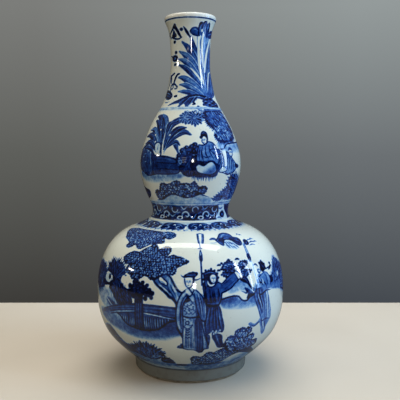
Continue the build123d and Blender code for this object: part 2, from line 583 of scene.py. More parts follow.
def wall_faces(count, columns, closed):
    """The four corners of each face between the rows of a turned mesh."""
    i = np.arange(count if closed else count - 1)[:, None]
    j = np.arange(columns)
    beside = (j + 1) % columns
    here, above = i * columns, (i + 1) % count * columns
    return np.stack([(here + j).ravel(), (here + beside).ravel(), (above + beside).ravel(),
                     (above + j).ravel()], 1)


def wall_maps(up, columns):
    """Where the corners of those faces lie on the bake map."""
    left, right, lift = map_columns(columns)
    low, high = up[:-1], up[1:]
    u = np.stack([left, right, right, left], 1)[None].repeat(len(low), 0)
    v = np.stack([low, low, high, high], 1)[:, None] + lift[None, :, None]
    return np.stack([u, v], 3).reshape(-1, 2)


def pole_faces(count, columns):
    """The three corners of each face round the poles at the foot and the head of a mesh that isn't closed."""
    j = np.arange(columns)
    beside = (j + 1) % columns
    foot_pole, last_row = count * columns, (count - 1) * columns
    return np.concatenate([np.stack([np.full(columns, foot_pole), beside, j], 1),
                           np.stack([np.full(columns, foot_pole + 1), last_row + j, last_row + beside], 1)])


def pole_maps(up, columns):
    """Where the corners of those faces lie on the bake map."""
    left, right, lift = map_columns(columns)
    middle = (left + right) / 2
    maps = np.empty((2, columns, 3, 2))
    maps[0, :, :, 0] = np.stack([middle, right, left], 1)
    maps[1, :, :, 0] = np.stack([middle, left, right], 1)
    for end, height in enumerate((up[0], up[-1])):
        maps[end, :, 0, 1] = MAP_POLES[end] + lift
        maps[end, :, 1:, 1] = (height + lift)[:, None]
    return maps.reshape(-1, 2)


def mesh_from(name, places, corners, sizes):
    """A mesh from its points, in mm, the corners of its faces in one row, and each face's number of them."""
    mesh = bpy.data.meshes.new(name)
    mesh.vertices.add(len(places))
    mesh.vertices.foreach_set("co", (places * MM).ravel())
    mesh.loops.add(len(corners))
    mesh.loops.foreach_set("vertex_index", corners)
    mesh.polygons.add(len(sizes))
    mesh.polygons.foreach_set("loop_start", np.cumsum(sizes) - sizes)
    mesh.polygons.foreach_set("loop_total", sizes)
    mesh.update(calc_edges=True)
    return mesh


def turned(name, profile, closed, columns, marks):
    """A piece turned round the axis from a profile, closed on itself or by poles at both ends."""
    rows = profile.rows
    count = len(rows)
    points = np.array([row.place for row in rows])
    angle = 2 * math.pi * np.arange(columns) / columns
    places = np.empty((count, columns, 3))
    places[:, :, :2] = points[:, None, :1] * np.stack([np.sin(angle), -np.cos(angle)], 1)
    places[:, :, 2] = points[:, 1, None]
    places = places.reshape(-1, 3)
    up = shares_up(rows, points, closed)
    corners = wall_faces(count, columns, closed).ravel()
    sizes = np.full(len(corners) // 4, 4)
    maps = wall_maps(up, columns)
    if not closed:
        fans = pole_faces(count, columns)
        places = np.vstack([places, [[0, 0, points[0, 1]], [0, 0, points[-1, 1]]]])
        corners = np.concatenate([corners, fans.ravel()])
        sizes = np.concatenate([sizes, np.full(len(fans), 3)])
        maps = np.vstack([maps, pole_maps(up, columns)])
    mesh = mesh_from(name, places, corners, sizes)
    mesh.uv_layers.new(name="OFBake").uv.foreach_set("vector", maps.ravel())

    # Edges along a sharp row are sharp
    ends = np.empty(2 * len(mesh.edges), int)
    mesh.edges.foreach_get("vertices", ends)
    row_of = np.minimum(ends // columns, count).reshape(-1, 2)
    sharp = np.append([row.sharp for row in rows], False)
    on_corner = (row_of[:, 0] == row_of[:, 1]) & sharp[row_of[:, 0]]
    mesh.attributes.new("sharp_edge", "BOOLEAN", "EDGE").data.foreach_set("value", on_corner)

    for mark, values in marks(np.array([row.height for row in rows]), points, angle).items():
        values = np.broadcast_to(values, (count, columns)).ravel()
        if not closed:
            values = np.append(values, [values[0], values[-1]])
        mesh.attributes.new(mark, "FLOAT", "POINT").data.foreach_set("value", values.astype(np.float32))
    mesh.validate()
    piece = bpy.data.objects.new(name, mesh)
    bpy.context.scene.collection.objects.link(piece)
    return piece


# Foliage, in millimetres


def ringlet_mass(b, outline, pitch=2.5, ground=NAVY, tones=(BARE, FAINT, FAINT, PALE), radius=0.82):
    """Pine foliage: a dark mass with a scalloped edge, filled with pale ringlets."""
    b.area(outline, ground)
    for spot, out in b.rim(outline, 2.1):
        b.dot(*(spot + out * 0.3), b.random.uniform(0.9, 1.4), ground)
    for x, s in b.scatter(outline, pitch, 0.2):
        size = radius * b.random.uniform(0.8, 1.2)
        b.dot(x, s, size, b.random.choice(tones), b.random.uniform(0.8, 1.15), b.random.uniform(0, 3))
        b.dot(x + b.random.uniform(-0.2, 0.2), s, size * 0.4, DARK)


def lobes(b, centres, radius, tone=DARK):
    """Round lobes of foliage with darker hearts."""
    for x, s in centres:
        b.dot(x, s, radius * b.random.uniform(0.85, 1.15), tone, b.random.uniform(0.85, 1.1))
        b.dot(x + b.random.uniform(-0.4, 0.4), s, radius * 0.5, NAVY)


def bristles(b, outline, root, length, width, spacing, tone=DARK, lean=0.5):
    """Pointed strokes that stand out of an outline, away from a root."""
    for spot, out in b.rim(outline, spacing):
        away = spot - np.array(root)
        away = away / max(1e-6, math.hypot(*away))
        way = out * (1 - lean) + away * lean
        far = spot + way * length * b.random.uniform(0.6, 1.3)
        b.line([spot - way * length * 0.8, far], width * b.random.uniform(0.8, 1.2), tone, "tail")


def streaks(b, outline, pitch, angle, length, width, tones, curve=0.0):
    """Short strokes inside an outline, at an angle in degrees or at one that depends on the place."""
    for x, s in b.scatter(outline, pitch, 0.3):
        turn = angle(x, s) if callable(angle) else math.radians(angle)
        turn += b.random.normal(0, 0.22)
        reach = length * b.random.uniform(0.7, 1.2) / 2
        step = np.array([math.cos(turn), math.sin(turn)]) * reach
        side = np.array([-step[1], step[0]]) * curve
        b.line([(x, s) - step, (x, s) + side, (x, s) + step], width * b.random.uniform(0.7, 1.2),
               b.random.choice(tones), "leaf")


def leafy_mass(b, outline, root, ground=NAVY, pitch=3.0, length=7.0, edge=3.0):
    """A shrub or clump: dark ground with broad leaves that fan out from a root, each with a paler middle."""
    b.area(outline, ground)
    away = away_from(root)
    bristles(b, outline, root, edge, 2.2, 3.0, ground)
    streaks(b, outline, pitch, away, length, 1.5, [DEEP, DEEP, MID, DARK])
    streaks(b, outline, pitch * 1.1, away, length * 0.7, 0.65, [SOFT, PALE, MID])


def dotted_shrub(b, outline, pitch=2.7, ground=NAVY, tones=(FAINT, PALE, SOFT), radius=0.72):
    """A low shrub: a dark mass of round leaves with pale hearts, and a scalloped edge."""
    b.area(outline, ground)
    for spot, out in b.rim(outline, 2.3):
        b.dot(*(spot + out * 0.4), b.random.uniform(1.1, 1.7), ground)
    b.dots(b.scatter(outline, pitch * 1.6, 0.3), pitch * 0.7, DEEP)
    for x, s in b.scatter(outline, pitch, 0.28):
        b.dot(x, s, radius * b.random.uniform(0.7, 1.25), b.random.choice(tones), b.random.uniform(0.9, 1.6),
              b.random.uniform(0.3, 1.2))


def willow_mass(b, outline, root, tilt=100.0, ground=DARK, light=(MID, SOFT), dark=(NAVY, DARK)):
    """A mass of hanging strokes."""
    b.area(outline, ground)
    bristles(b, outline, root, 3.0, 1.5, 1.9, ground, 0.7)
    streaks(b, outline, 2.4, tilt, 6.5, 1.3, dark)
    streaks(b, outline, 2.9, tilt, 5.0, 0.6, light)


# Motifs of the lower bulb, in millimetres

PINE_TOP = [(-124, 163), (-110, 166), (-95, 167), (-75, 167), (-60, 166), (-45, 165.5), (-35, 166),
            (-27, 165), (-23, 162), (-22, 160), (-25, 157), (-29, 156), (-37, 157.5), (-35, 151), (-38, 149),
            (-43, 149), (-50, 148), (-55, 145), (-60, 142), (-64, 141), (-68, 143), (-73, 145.5), (-76, 143),
            (-80, 141), (-84, 141), (-86, 143), (-84, 146), (-95, 150), (-103, 152), (-110, 156),
            (-120, 160)]
PINE_FRONT = [(-45, 147), (-42, 145), (-39, 142), (-37, 139), (-35, 141), (-31, 143.5), (-26, 144),
              (-23.5, 142.5), (-23.5, 139), (-26, 136), (-27, 134), (-24, 133.5), (-20, 135), (-17, 135.3),
              (-14, 133.5), (-10, 133.5), (-6, 131.5), (-3, 130), (-4, 128.5), (-8, 127.5), (-13, 125),
              (-15, 123), (-15, 120), (-17, 118), (-24, 118), (-30, 116), (-33, 114), (-36, 112), (-40, 113),
              (-44, 115), (-48, 115), (-52, 112), (-57, 111), (-62, 112), (-61, 115), (-66, 115), (-70, 118),
              (-69, 121), (-65, 123), (-68, 124.5), (-74, 124.5), (-78, 127), (-79, 129.5), (-76, 132),
              (-72, 134.5), (-67, 136), (-62, 135.5), (-58, 137), (-55, 139.5), (-51, 142), (-48, 144)]
TRUNK = [(-37, 113), (-33.5, 108.5), (-28, 104.3), (-23, 100.6), (-19.5, 97), (-16, 95.6), (-13.5, 93),
         (-12.6, 89), (-12.6, 86), (-8, 86), (-8, 95), (-6.5, 101), (-9, 102), (-11.4, 103.4), (-13.6, 106.6),
         (-16, 111.5), (-19.5, 115), (-24, 118), (-31, 118)]


def pine(b):
    """An old pine: a twisted trunk with a hollow under two masses of needles."""
    b.area(TRUNK, MID)
    b.area([(-21, 116), (-17, 110), (-14, 104.5), (-9, 100), (-9, 94), (-13, 93.4), (-16, 99), (-20, 105.5),
            (-23.4, 112)], SOFT)
    b.lines(([(-20.5, 114), (-18.6, 107), (-15.5, 102), (-11, 96)],
             [(-17.6, 110.4), (-15.6, 105), (-12, 99.6)], [(-31, 108), (-26, 105), (-20, 100.4), (-15.4, 97)],
             [(-13, 99.6), (-11, 94), (-10.8, 88)]), 1.4, FAINT, "leaf")
    b.lines(([(-23.6, 111), (-20.6, 104), (-16, 97.6), (-13.6, 94.6)],
             [(-19.6, 109), (-16.8, 103.4), (-13.4, 98.6)], [(-28, 107.4), (-22, 103.4), (-18.4, 99)]), 1.0,
            NAVY, "leaf")
    left = [(-37, 112.4), (-33.5, 108), (-28, 103.8), (-23, 100.2), (-20, 97), (-17, 95.6), (-14.4, 93),
            (-13, 90), (-12.6, 86)]
    right = [(-25, 118), (-19.5, 115), (-16.4, 110), (-14, 106), (-11.6, 103), (-9, 101.4), (-6.5, 101)]
    b.line(left, 2.2, NAVY, "brush")
    b.line(right, 1.7, NAVY, "brush")
    b.line([(-9, 98), (-10, 93), (-9.6, 86)], 1.2, NAVY)
    hole = [(-31.4, 112.4), (-30.4, 114.6), (-28, 114.8), (-25.4, 112.6), (-22.8, 110.8), (-21.8, 108.4),
            (-22.6, 106.9), (-25.6, 108), (-29, 109.4)]
    b.shape(hole, BARE, 1.3)
    b.line([(-29.6, 111.4), (-26, 109.6), (-23.6, 108.4)], 0.8, MID, "leaf")
    ringlet_mass(b, PINE_TOP, 2.5, DARK, (FAINT, PALE, PALE, BARE))
    streaks(b, PINE_TOP, 5.0, 158, 7.0, 1.1, [NAVY, DARK])
    ringlet_mass(b, PINE_FRONT, 2.5)
    streaks(b, [(-66, 121), (-58, 132), (-46, 136), (-40, 124), (-48, 116), (-60, 114)], 6.0, 40, 5.0, 1.0,
            [NAVY])


def lobed_tree(b):
    """A small tree with a dark round-lobed crown on a straight trunk."""
    b.area([(-55.4, 97), (-46.6, 97), (-46.4, 84), (-46, 72), (-45.4, 63.4), (-56, 63.4), (-55.4, 75),
            (-55, 86)], DARK, curved=False)
    for x, tone in ((-53.4, MID), (-51, SOFT), (-48.4, MID)):
        b.line([(x, 88), (x - 0.2, 78), (x - 0.1, 65)], 0.8, tone, "tail")
    b.lines([[(-55.4, 97), (-55, 84), (-55.6, 72), (-56.2, 63.4)],
             [(-46.8, 97), (-46.2, 84), (-46, 72), (-45.4, 63.4)]], 1.1, NAVY)
    crown = [(-60, 96), (-61, 103), (-56, 107), (-48, 107), (-42, 104), (-38.5, 99.5), (-39, 95), (-45, 96),
             (-50, 94.5), (-56, 96)]
    b.area(crown, NAVY)
    lobes(b, [(-62, 103.5), (-61.5, 98.5), (-57, 107.8), (-52, 106.5), (-47.5, 108), (-42.4, 105.8),
              (-40, 101.6), (-36.6, 99), (-37.4, 94.8), (-43.6, 93.6), (-50, 96), (-57, 94.6), (-54, 108.6)],
          2.3, NAVY)
    for x, s in b.scatter(crown, 4.6, 0.3):
        b.line([(x - 1.2, s - 0.3), (x + 1.0, s + 0.6)], 0.6, b.random.choice([DEEP, MID]), "leaf")


ROSETTE = [(-104, 119), (-99, 121.5), (-97, 125), (-93, 124), (-89, 123), (-86, 125.5), (-83, 123.5),
           (-79, 123.5), (-76, 121), (-72, 118), (-71, 114), (-72, 111), (-75, 108), (-79, 107), (-84, 108),
           (-89, 109), (-92, 111), (-95, 113), (-100, 113)]
ROCK_STEM = [(-90, 110), (-84, 109), (-78, 108), (-75, 107.5), (-72, 104), (-70, 101), (-65, 99.5), (-60, 99),
             (-60, 93), (-59, 88), (-66, 85), (-75, 83), (-80, 86), (-88, 94), (-93, 97), (-91, 102),
             (-88, 105)]


def far_left(b):
    """A rosette tree on a dark hollow rock, a willow behind it, and a pale hatched rock."""
    willow_mass(b, [(-140, 116), (-124, 118), (-113, 116.6), (-106, 113), (-104, 108), (-106, 101),
                    (-104, 97), (-112, 93.6), (-122, 91), (-134, 97), (-141, 104)], (-122, 98), 80)
    b.area([(-128, 90), (-120, 89), (-112, 92), (-104, 95), (-96, 96), (-88, 96.6), (-82, 90), (-78, 82),
            (-84, 78), (-98, 76), (-110, 78), (-124, 84)], PALE, 1.0)
    for k in range(13):
        x = -122 + 3.2 * k
        b.line([(x, 91 + 0.3 * k), (x + 3.4, 86 + 0.1 * k), (x + 6, 79)], 1.2,
               b.random.choice([SOFT, MID, DEEP]), "tail")
        b.line([(x + 1.6, 90 + 0.3 * k), (x + 5, 84)], 0.6, b.random.choice([BARE, FAINT]), "leaf")
    b.area([(-98, 86), (-90, 86.6), (-82, 83), (-78, 80), (-86, 79), (-94, 80)], DEEP, 0.8)
    b.line([(-99, 86), (-94, 84), (-89, 81), (-84, 79.6)], 1.4, FAINT, "leaf")
    b.area([(-108, 101), (-102, 98), (-94, 99), (-90, 96), (-84, 98), (-88, 104), (-96, 103), (-104, 104)],
           NAVY)
    b.area(ROCK_STEM, NAVY)
    streaks(b, ROCK_STEM, 3.0, 118, 6.5, 1.0, [DEEP, DARK])
    streaks(b, ROCK_STEM, 4.6, 118, 4.5, 0.5, [MID, SOFT])
    b.outline(ROCK_STEM, 1.2, NAVY)
    b.area(ROSETTE, NAVY)
    bristles(b, ROSETTE, (-86, 108), 3.6, 2.2, 3.0, NAVY, 0.8)
    fan = away_from((-86, 106))
    streaks(b, ROSETTE, 3.0, fan, 6.0, 1.3, [DARK, DEEP])
    streaks(b, ROSETTE, 4.0, fan, 4.0, 0.6, [MID, SOFT])
    b.area([(-104.5, 106), (-102, 109.6), (-97, 110.6), (-92.6, 109), (-91.6, 105.4), (-93.6, 102),
            (-98, 101.4), (-102.4, 103)], FAINT)
    b.area([(-97.4, 108.6), (-95.4, 110), (-93, 108.4), (-93, 105.6), (-95.4, 104.6), (-96.8, 106.4)], NAVY)
    b.line([(-106, 111.6), (-101, 112.6), (-96, 112), (-91, 110.4)], 1.6, NAVY, "leaf")
    b.area([(-74, 111), (-71, 112), (-70, 108), (-72.6, 104), (-75, 107)], BARE)


def fence(b):
    """A terrace with a rail and a low paling that bows down, and a deep wash of shade under it."""
    b.area([(-116, 72), (-100, 73), (-84, 72), (-60, 68), (-30, 70), (-14, 76), (-9, 70), (-9, 61), (-16, 58),
            (-24, 54.6), (-45, 52.6), (-66, 53.6), (-84, 57), (-100, 61), (-112, 66)],
           fade(52, 0.34, 62, 0.62), 1.8)
    b.area([(-112, 71), (-100, 75), (-84, 76), (-72, 72), (-76, 64), (-92, 62), (-106, 65)], SOFT, 2.0, 0.6)
    b.area([(-26, 72), (-12, 76), (-8, 70), (-9, 62), (-16, 60), (-22, 62)], DEEP, 1.6, 0.8)
    top = [(-13, 86.8), (-30, 87.8), (-45, 87.8), (-60, 86.5), (-75, 83.2), (-90, 78.7), (-106, 73)]
    bottom = [(-108, 69.5), (-90, 72), (-75, 76), (-60, 78.7), (-45, 79.7), (-30, 79), (-13, 78)]
    b.area([*top, *bottom], fade(72, 0.56, 88, 0.68))
    for k in range(5):
        lift = 1.2 + 1.5 * k
        b.line([(x, s - lift * (0.3 + 0.7 * min(1, (x + 110) / 60))) for x, s in top], 0.6,
               [DARK, MID, DARK, MID, DARK][k], "brush")
    b.line(top, 1.0, DARK)
    field = [(-15, 77.5), (-13, 74.8), (-18.6, 73.6), (-23, 71), (-27, 67.6), (-31, 65), (-37, 63.6),
             (-47, 62.4), (-57, 63.4), (-65, 65), (-70, 68), (-74, 72), (-80, 74.6), (-70, 76.6), (-60, 78.4),
             (-45, 79.2), (-30, 78.4)]
    b.area(field, DEEP)
    low = np.array(field[1:13], float)
    order = np.argsort(low[:, 0])
    for x in (-72.5, -70, -67.4, -65, -62.4, -60.6, -58.6, -57, -44.6, -42.6, -40.2, -38, -36, -33.6, -31,
              -28.6, -26.2, -23.4, -20.6):
        foot = np.interp(x, low[order, 0], low[order, 1]) + 1.4
        head = 76.0 if x > -50 else 73.6
        b.line([(x, head), (x + 0.2, foot)], 0.9, b.random.choice([FAINT, PALE, SOFT]), "leaf")
        b.line([(x + 1.1, head), (x + 1.2, foot - 0.6)], 0.7, NAVY, "brush")
    b.line(field[:13], 1.6, NAVY)
    rail = [(-91, 72.6), (-80, 75.6), (-70, 77.8), (-60, 79.6), (-54, 80.2)]
    b.line(rail, 1.2, PALE, "leaf")
    b.line(nudged(rail, 0, -1.3), 0.7, NAVY)
    b.line(nudged(rail, 0, 1.2), 0.6, DARK)
    rail = [(-46, 78.8), (-38, 78.8), (-30, 78), (-20, 76.6), (-13, 75.9)]
    b.line(rail, 1.0, FAINT, "leaf")
    b.line(nudged(rail, 0, 1.2), 0.7, NAVY)
    b.line([(-13, 84.4), (-24, 85.4), (-40, 85.4)], 0.7, SOFT, "leaf")


def ground_left(b):
    """A clump of broad leaves on a dark bank at the lower left, the bank partly painted ground and partly a
    painted dark reflection.
    """
    b.area([(-112, 40), (-92, 36), (-74, 31), (-50, 24), (-30, 20), (-19, 17), (-22, 11), (-40, 9), (-62, 10),
            (-84, 18), (-94, 28)], SOFT, 2.4)
    # The dark bank is partly painted ground and partly a painted reflection of the dark room near the bulb's
    # edge
    bank = [(-118, 49), (-110, 55), (-101, 57.6), (-94, 55.4), (-87, 48), (-79, 41), (-66, 36), (-74, 28),
            (-92, 27), (-110, 36)]
    b.area(bank, DARK, 0.9, 0.92)
    streaks(b, bank, 3.4, 150, 7, 1.0, [MID, SOFT, NAVY])
    clump = [(-84, 34), (-76, 38.6), (-66, 41), (-62, 43.6), (-58, 44.6), (-54, 46.4), (-48, 47), (-42, 46),
             (-38, 43.6), (-34, 41.6), (-31, 38), (-28.4, 36), (-31, 32.6), (-34, 28.6), (-38, 25), (-46, 22),
             (-60, 22), (-74, 27)]
    leafy_mass(b, clump, (-58, 14), NAVY, 3.2, 8.0, 2.4)
    right = [(-38, 20), (-36, 25), (-32, 28), (-27, 28.6), (-23, 26), (-21, 22), (-19.6, 17), (-28, 16),
             (-36, 17)]
    b.area(right, NAVY)
    for x, s, turn in ((-31, 27, 1.2), (-27, 26.4, 0.7), (-24, 22.6, 0.3), (-34, 24, 1.7)):
        b.line([(x, s), (x + 3.6 * math.cos(turn), s + 3.6 * math.sin(turn))], 2.2, NAVY, "tail")
    for x, s, turn in ((-32, 36, 0.1), (-34, 41, 0.5), (-40, 44.6, 0.8), (-47, 45.6, 1.3), (-54, 45, 1.8),
                       (-61, 42.6, 2.2), (-32, 32, -0.3), (-67, 38, 2.5)):
        far = (x + 4.6 * math.cos(turn), s + 4.6 * math.sin(turn))
        b.line([(x - 2 * math.cos(turn), s - 2 * math.sin(turn)), far], 3.0, NAVY, "tail")
    b.lines(([(-60, 26), (-56, 34), (-54, 43)], [(-54, 25), (-48, 34), (-45, 43)],
             [(-50, 24), (-42, 31), (-36, 38)], [(-64, 28), (-63, 35), (-62, 40)],
             [(-44, 24), (-38, 28), (-33, 30)], [(-36, 19), (-30, 23), (-26, 24)]), 0.9, SOFT, "leaf")


def ground_right(b):
    """Dotted shrubs over a curved bank at the lower right."""
    b.area([(-2, 17), (20, 13), (44, 15), (60, 24), (74, 25), (90, 17), (112, 8), (112, -2), (60, -2),
            (-2, -2)], fade(0, 0.34, 24, 0.46), 2.0)
    # Two pale streaks in the wash are painted highlights, where the glaze mirrors the light at the right
    b.area([(42, 20), (50, 24), (62, 25), (72, 22), (62, 17), (50, 16)], FAINT, 1.6, 0.8)
    b.area([(76, 22), (92, 15), (110, 7), (110, 4), (90, 10), (74, 17)], FAINT, 1.4, 0.7)
    bank = [(40, 21), (48, 26.5), (58, 30.6), (68, 28.6), (80, 24), (94, 18), (112, 9), (112, 13), (96, 22),
            (82, 31), (72, 38), (58, 38), (44, 34)]
    b.area(bank, DARK, 0.5)
    low = [(2, 28), (3, 31.5), (8, 31.5), (12, 30), (16, 33), (17, 36), (19, 38), (23, 37.5), (25, 35),
           (28, 38), (33, 40.5), (38, 42), (44, 40), (52, 38), (60, 39), (66, 40), (60, 34), (50, 29),
           (43, 22), (40, 19), (30, 17), (16, 17), (4, 18)]
    dotted_shrub(b, low)
    high = [(38, 42), (40, 45), (36.5, 47), (36.5, 51), (38.5, 55), (41, 56), (44, 54), (46, 52), (46, 60),
            (50, 62.5), (54, 62.5), (57, 60), (58, 62), (62, 61.5), (64, 59), (60, 55), (62, 51), (66, 54),
            (69, 53), (69, 50), (66, 48.6), (70, 45.5), (75, 45.5), (78, 43.4), (77, 38), (66, 37), (56, 36),
            (44, 38)]
    dotted_shrub(b, high)
    for x, s, size in ((40, 51.4, 1.5), (50.5, 57.5, 1.3), (56, 57, 1.1), (65, 51.6, 1.0), (48, 51, 1.3)):
        b.ring(x, s, size, 0.9, PALE)
    b.lines(([(44, 50), (48, 45), (53, 41)], [(52, 54), (56, 48), (62, 43)], [(40, 44), (44, 40), (48, 36)],
             [(30, 36), (33, 31), (38, 26)], [(20, 34), (24, 29), (30, 24)]), 0.9, FAINT, "leaf")
    b.area([(6, 26), (9, 29.4), (13, 29), (12, 25.4), (8, 24.6)], DEEP)
    b.dots(((5, 28), (10, 28.6), (7, 23), (13, 26)), 0.7, FAINT)


def face(b, x, s, wide, tall, turn=0.0):
    """A plain painted face with its features as short strokes."""
    b.dot(x, s, wide / 2, BARE, tall / wide)
    b.line([(x - wide * 0.5, s + tall * 0.12), (x - wide * 0.42, s - tall * 0.26),
            (x - wide * 0.14, s - tall * 0.47), (x + wide * 0.14, s - tall * 0.47),
            (x + wide * 0.42, s - tall * 0.26), (x + wide * 0.5, s + tall * 0.12)], 0.8, DARK, "brush")
    for side in (-1, 1):
        at = x + turn + side * wide * 0.2
        b.line([(at - wide * 0.11, s + tall * 0.08), (at + wide * 0.11, s + tall * 0.08)], 0.5, NAVY)
        b.line([(at - wide * 0.14, s + tall * 0.2), (at + wide * 0.14, s + tall * 0.22)], 0.35, DEEP)
    b.line([(x + turn, s + tall * 0.05), (x + turn + 0.15, s - tall * 0.12)], 0.4, MID)
    b.line([(x + turn - wide * 0.1, s - tall * 0.27), (x + turn + wide * 0.1, s - tall * 0.27)], 0.5, DEEP)


def official(b):
    """A standing man in a long robe with wide sleeves and a winged hat."""
    skirt = [(-7, 79), (-7.2, 68), (-7.5, 56), (-7.5, 45.5), (-2, 43.6), (4, 43.2), (7, 41), (9, 39),
             (12, 39.6), (14, 43.5), (18, 44.6), (16.8, 51), (14.2, 58.5), (11.5, 68), (9, 78)]
    sleeve = [(-1, 105), (-5, 103.2), (-9, 98.8), (-10.8, 95), (-12.4, 90), (-13.4, 82), (-13.2, 75),
              (-12, 69), (-9.4, 63), (-7.4, 63), (-6.8, 74), (-7.4, 84), (-6, 92), (-2.4, 98)]
    right_sleeve = [(3, 105), (8, 101), (12, 96), (14.4, 90), (15.2, 82.5), (14.2, 75.6), (11.6, 74.6),
                    (8.6, 78), (6.2, 86), (4.4, 94)]
    torso = [(-6, 99), (0, 104), (4, 103), (6.4, 96), (7, 88), (6, 79), (0, 77.6), (-6.4, 79), (-7.2, 88)]
    b.area(skirt, SOFT, curved=False)
    for k, x in enumerate((-6.0, -4.4, -2.8, -1.2, 0.4, 2.0, 3.6, 13.2, 15.2)):
        foot_x = x * 1.06 + (1.6 if x > 8 else 0)
        b.line([(x * 0.72 + 0.6, 76), (x * 0.9, 62), (foot_x, 45.6)], 0.8, [BARE, PALE, FAINT][k % 3],
               "brush")
        b.line([(x * 0.72 + 1.4, 76), (x * 0.9 + 0.9, 62), (foot_x + 0.9, 45)], 0.85, [NAVY, DARK][k % 2],
               "brush")
    b.area([(4.6, 76), (8.6, 76), (11.6, 62), (13, 48), (12, 40), (8.6, 39.4), (6.2, 43), (5.6, 58)], DARK)
    b.lines(([(7, 74), (8, 60), (8, 43)], [(9.4, 70), (10.6, 56), (10.8, 43)]), 0.7, MID, "brush")
    b.line([(10, 76), (12.6, 64), (15, 50)], 0.7, PALE, "brush")
    b.outline(skirt, 1.0, NAVY, False)
    b.line([(-7, 46), (-2, 44.6), (4, 44.2)], 1.0, FAINT)
    b.lines([[(-7.2, 44.8), (-2, 43.4), (4, 43), (7, 41)], [(12.4, 43.8), (18.2, 44.2)]], 1.1, NAVY)
    b.area([(-13.6, 46), (-12.4, 48.4), (-10.4, 49), (-9.6, 51), (-7.4, 50.4), (-6.6, 46), (-8, 44.8),
            (-12.4, 45)], DARK)
    b.line([(-12, 46.8), (-8.4, 47.8)], 0.6, SOFT, "leaf")
    b.area(torso, 0.3)
    for x, s, size in ((-4.4, 90, 1.2), (-1.2, 90.2, 1.2), (2.2, 90, 1.2), (-5.2, 86, 1.0), (-2.6, 86.6, 1.1),
                       (0.6, 86.4, 1.1), (3.8, 86, 1.0), (-4.4, 82.4, 1.1), (-1.2, 82.6, 1.2),
                       (2.2, 82.4, 1.1)):
        b.ring(x, s, size, 0.6, b.random.choice([NAVY, DARK]), b.random.uniform(0, 6.3))
        b.dot(x, s, 0.4, BARE)
    b.dots(((-5.4, 84.4), (-1.2, 84.6), (2.6, 88.2), (-3, 88.4), (4.6, 83.4)), 0.7, NAVY)
    b.area([(4.6, 99), (6.6, 96), (8.6, 88), (8.8, 80), (6, 78.4), (4.6, 84)], DEEP)
    b.line([(6, 97), (7.2, 88), (7, 80)], 0.7, PALE, "leaf")
    b.area([(-8.4, 95.6), (-5, 97.4), (-1, 96.8), (-0.4, 93.4), (-4, 92), (-8, 92.4)], NAVY)
    b.line([(-6.6, 94.8), (-3.4, 95.4)], 0.7, MID, "leaf")
    b.line([(-0.6, 96), (1.4, 92.6), (4.6, 93)], 1.0, NAVY, "leaf")
    apron = [(-6.8, 78), (-2.6, 77), (1.4, 78), (1.6, 72), (0.4, 69), (-2.6, 67), (-5.8, 69), (-7, 72)]
    b.area(apron, PALE)
    b.ring(-2.8, 73, 1.6, 0.9, NAVY)
    for x, s in ((-5.2, 75.6), (-0.2, 75.6), (-5.2, 71), (-0.4, 71)):
        b.ring(x, s, 0.9, 0.5, DARK, b.random.uniform(0, 6.3))
    b.line([(-7, 71), (-5.4, 68.6), (-2.7, 67), (0.2, 68.6), (1.8, 71)], 0.9, NAVY)
    for s in (65.4, 63, 60.4, 57.4):
        b.line([(-4.6, s + 1.2), (-2.7, s), (-0.8, s + 1.2)], 0.9, NAVY)
    b.area(sleeve, SOFT)
    b.line([(-4, 101.6), (-8.6, 96.6), (-11, 90), (-12, 82), (-11.8, 74), (-10, 66)], 1.8, PALE, "brush")
    b.line([(-3, 100), (-7, 94.4), (-8.8, 87), (-9.2, 77), (-8.4, 67)], 1.1, NAVY, "brush")
    b.line([(-7.4, 91), (-7.6, 82), (-7.4, 72)], 0.7, PALE, "brush")
    b.outline(sleeve, 1.2, NAVY)
    b.area(right_sleeve, 0.5)
    for x0, x1, tone in ((5.4, 9.2, MID), (7.4, 11, PALE), (9.6, 12.6, SOFT), (11.2, 13.8, FAINT)):
        b.line([(x0, 100), (x0 + 2.2, 90), (x1, 78)], 0.8, tone, "brush")
        b.line([(x0 + 1, 99), (x0 + 3.2, 90), (x1 + 0.9, 78)], 0.7, NAVY, "brush")
    b.outline(right_sleeve, 1.1, NAVY)
    b.line([(-7, 79.4), (-2, 78), (3, 78), (7.4, 79.2)], 1.5, NAVY)
    b.line([(-13.4, 72), (-11.6, 66), (-8.6, 60), (-7, 55)], 1.7, NAVY, "leaf")
    b.area([(-4.6, 103.4), (-2, 104.6), (2.4, 104.8), (4.6, 104), (3.4, 100.6), (0.6, 98.6), (-2.6, 99.6)],
           FAINT)
    b.lines([[(-1.4, 104.8), (1, 101.6), (3.6, 98)], [(4, 104.8), (2.4, 101.2), (0, 98), (-3.4, 98)]], 1.2,
            NAVY)
    b.dot(-3.4, 101.6, 0.9, BARE)
    face(b, -1.4, 110.2, 7.2, 9.4, -0.5)
    b.line([(2.6, 114), (3, 110.6), (2.2, 107.4)], 1.2, NAVY)
    b.line([(-5.6, 113.6), (-5.4, 111), (-4.8, 109)], 1.1, NAVY)
    b.area([(-6.8, 114.6), (-5.6, 117.4), (-3, 118.6), (-1.4, 119.6), (2.4, 120.2), (6.6, 119.6),
            (7.4, 118.2), (6.4, 116.6), (4.4, 115), (4, 112.8), (2, 114.6), (-2, 115)], NAVY)
    b.area([(-1.6, 116.6), (1, 118.4), (4.6, 118.4), (5.2, 117.2), (2, 116.2)], DEEP)
    b.line([(-4.6, 116.2), (-1.6, 117.2), (2.6, 116.6)], 0.7, SOFT, "leaf")
    b.lines([[(-5.8, 115.2), (-8, 116), (-9.6, 117.6)], [(4.2, 112.6), (7, 113), (9.8, 114.4)]], 1.2, NAVY,
            "tail")


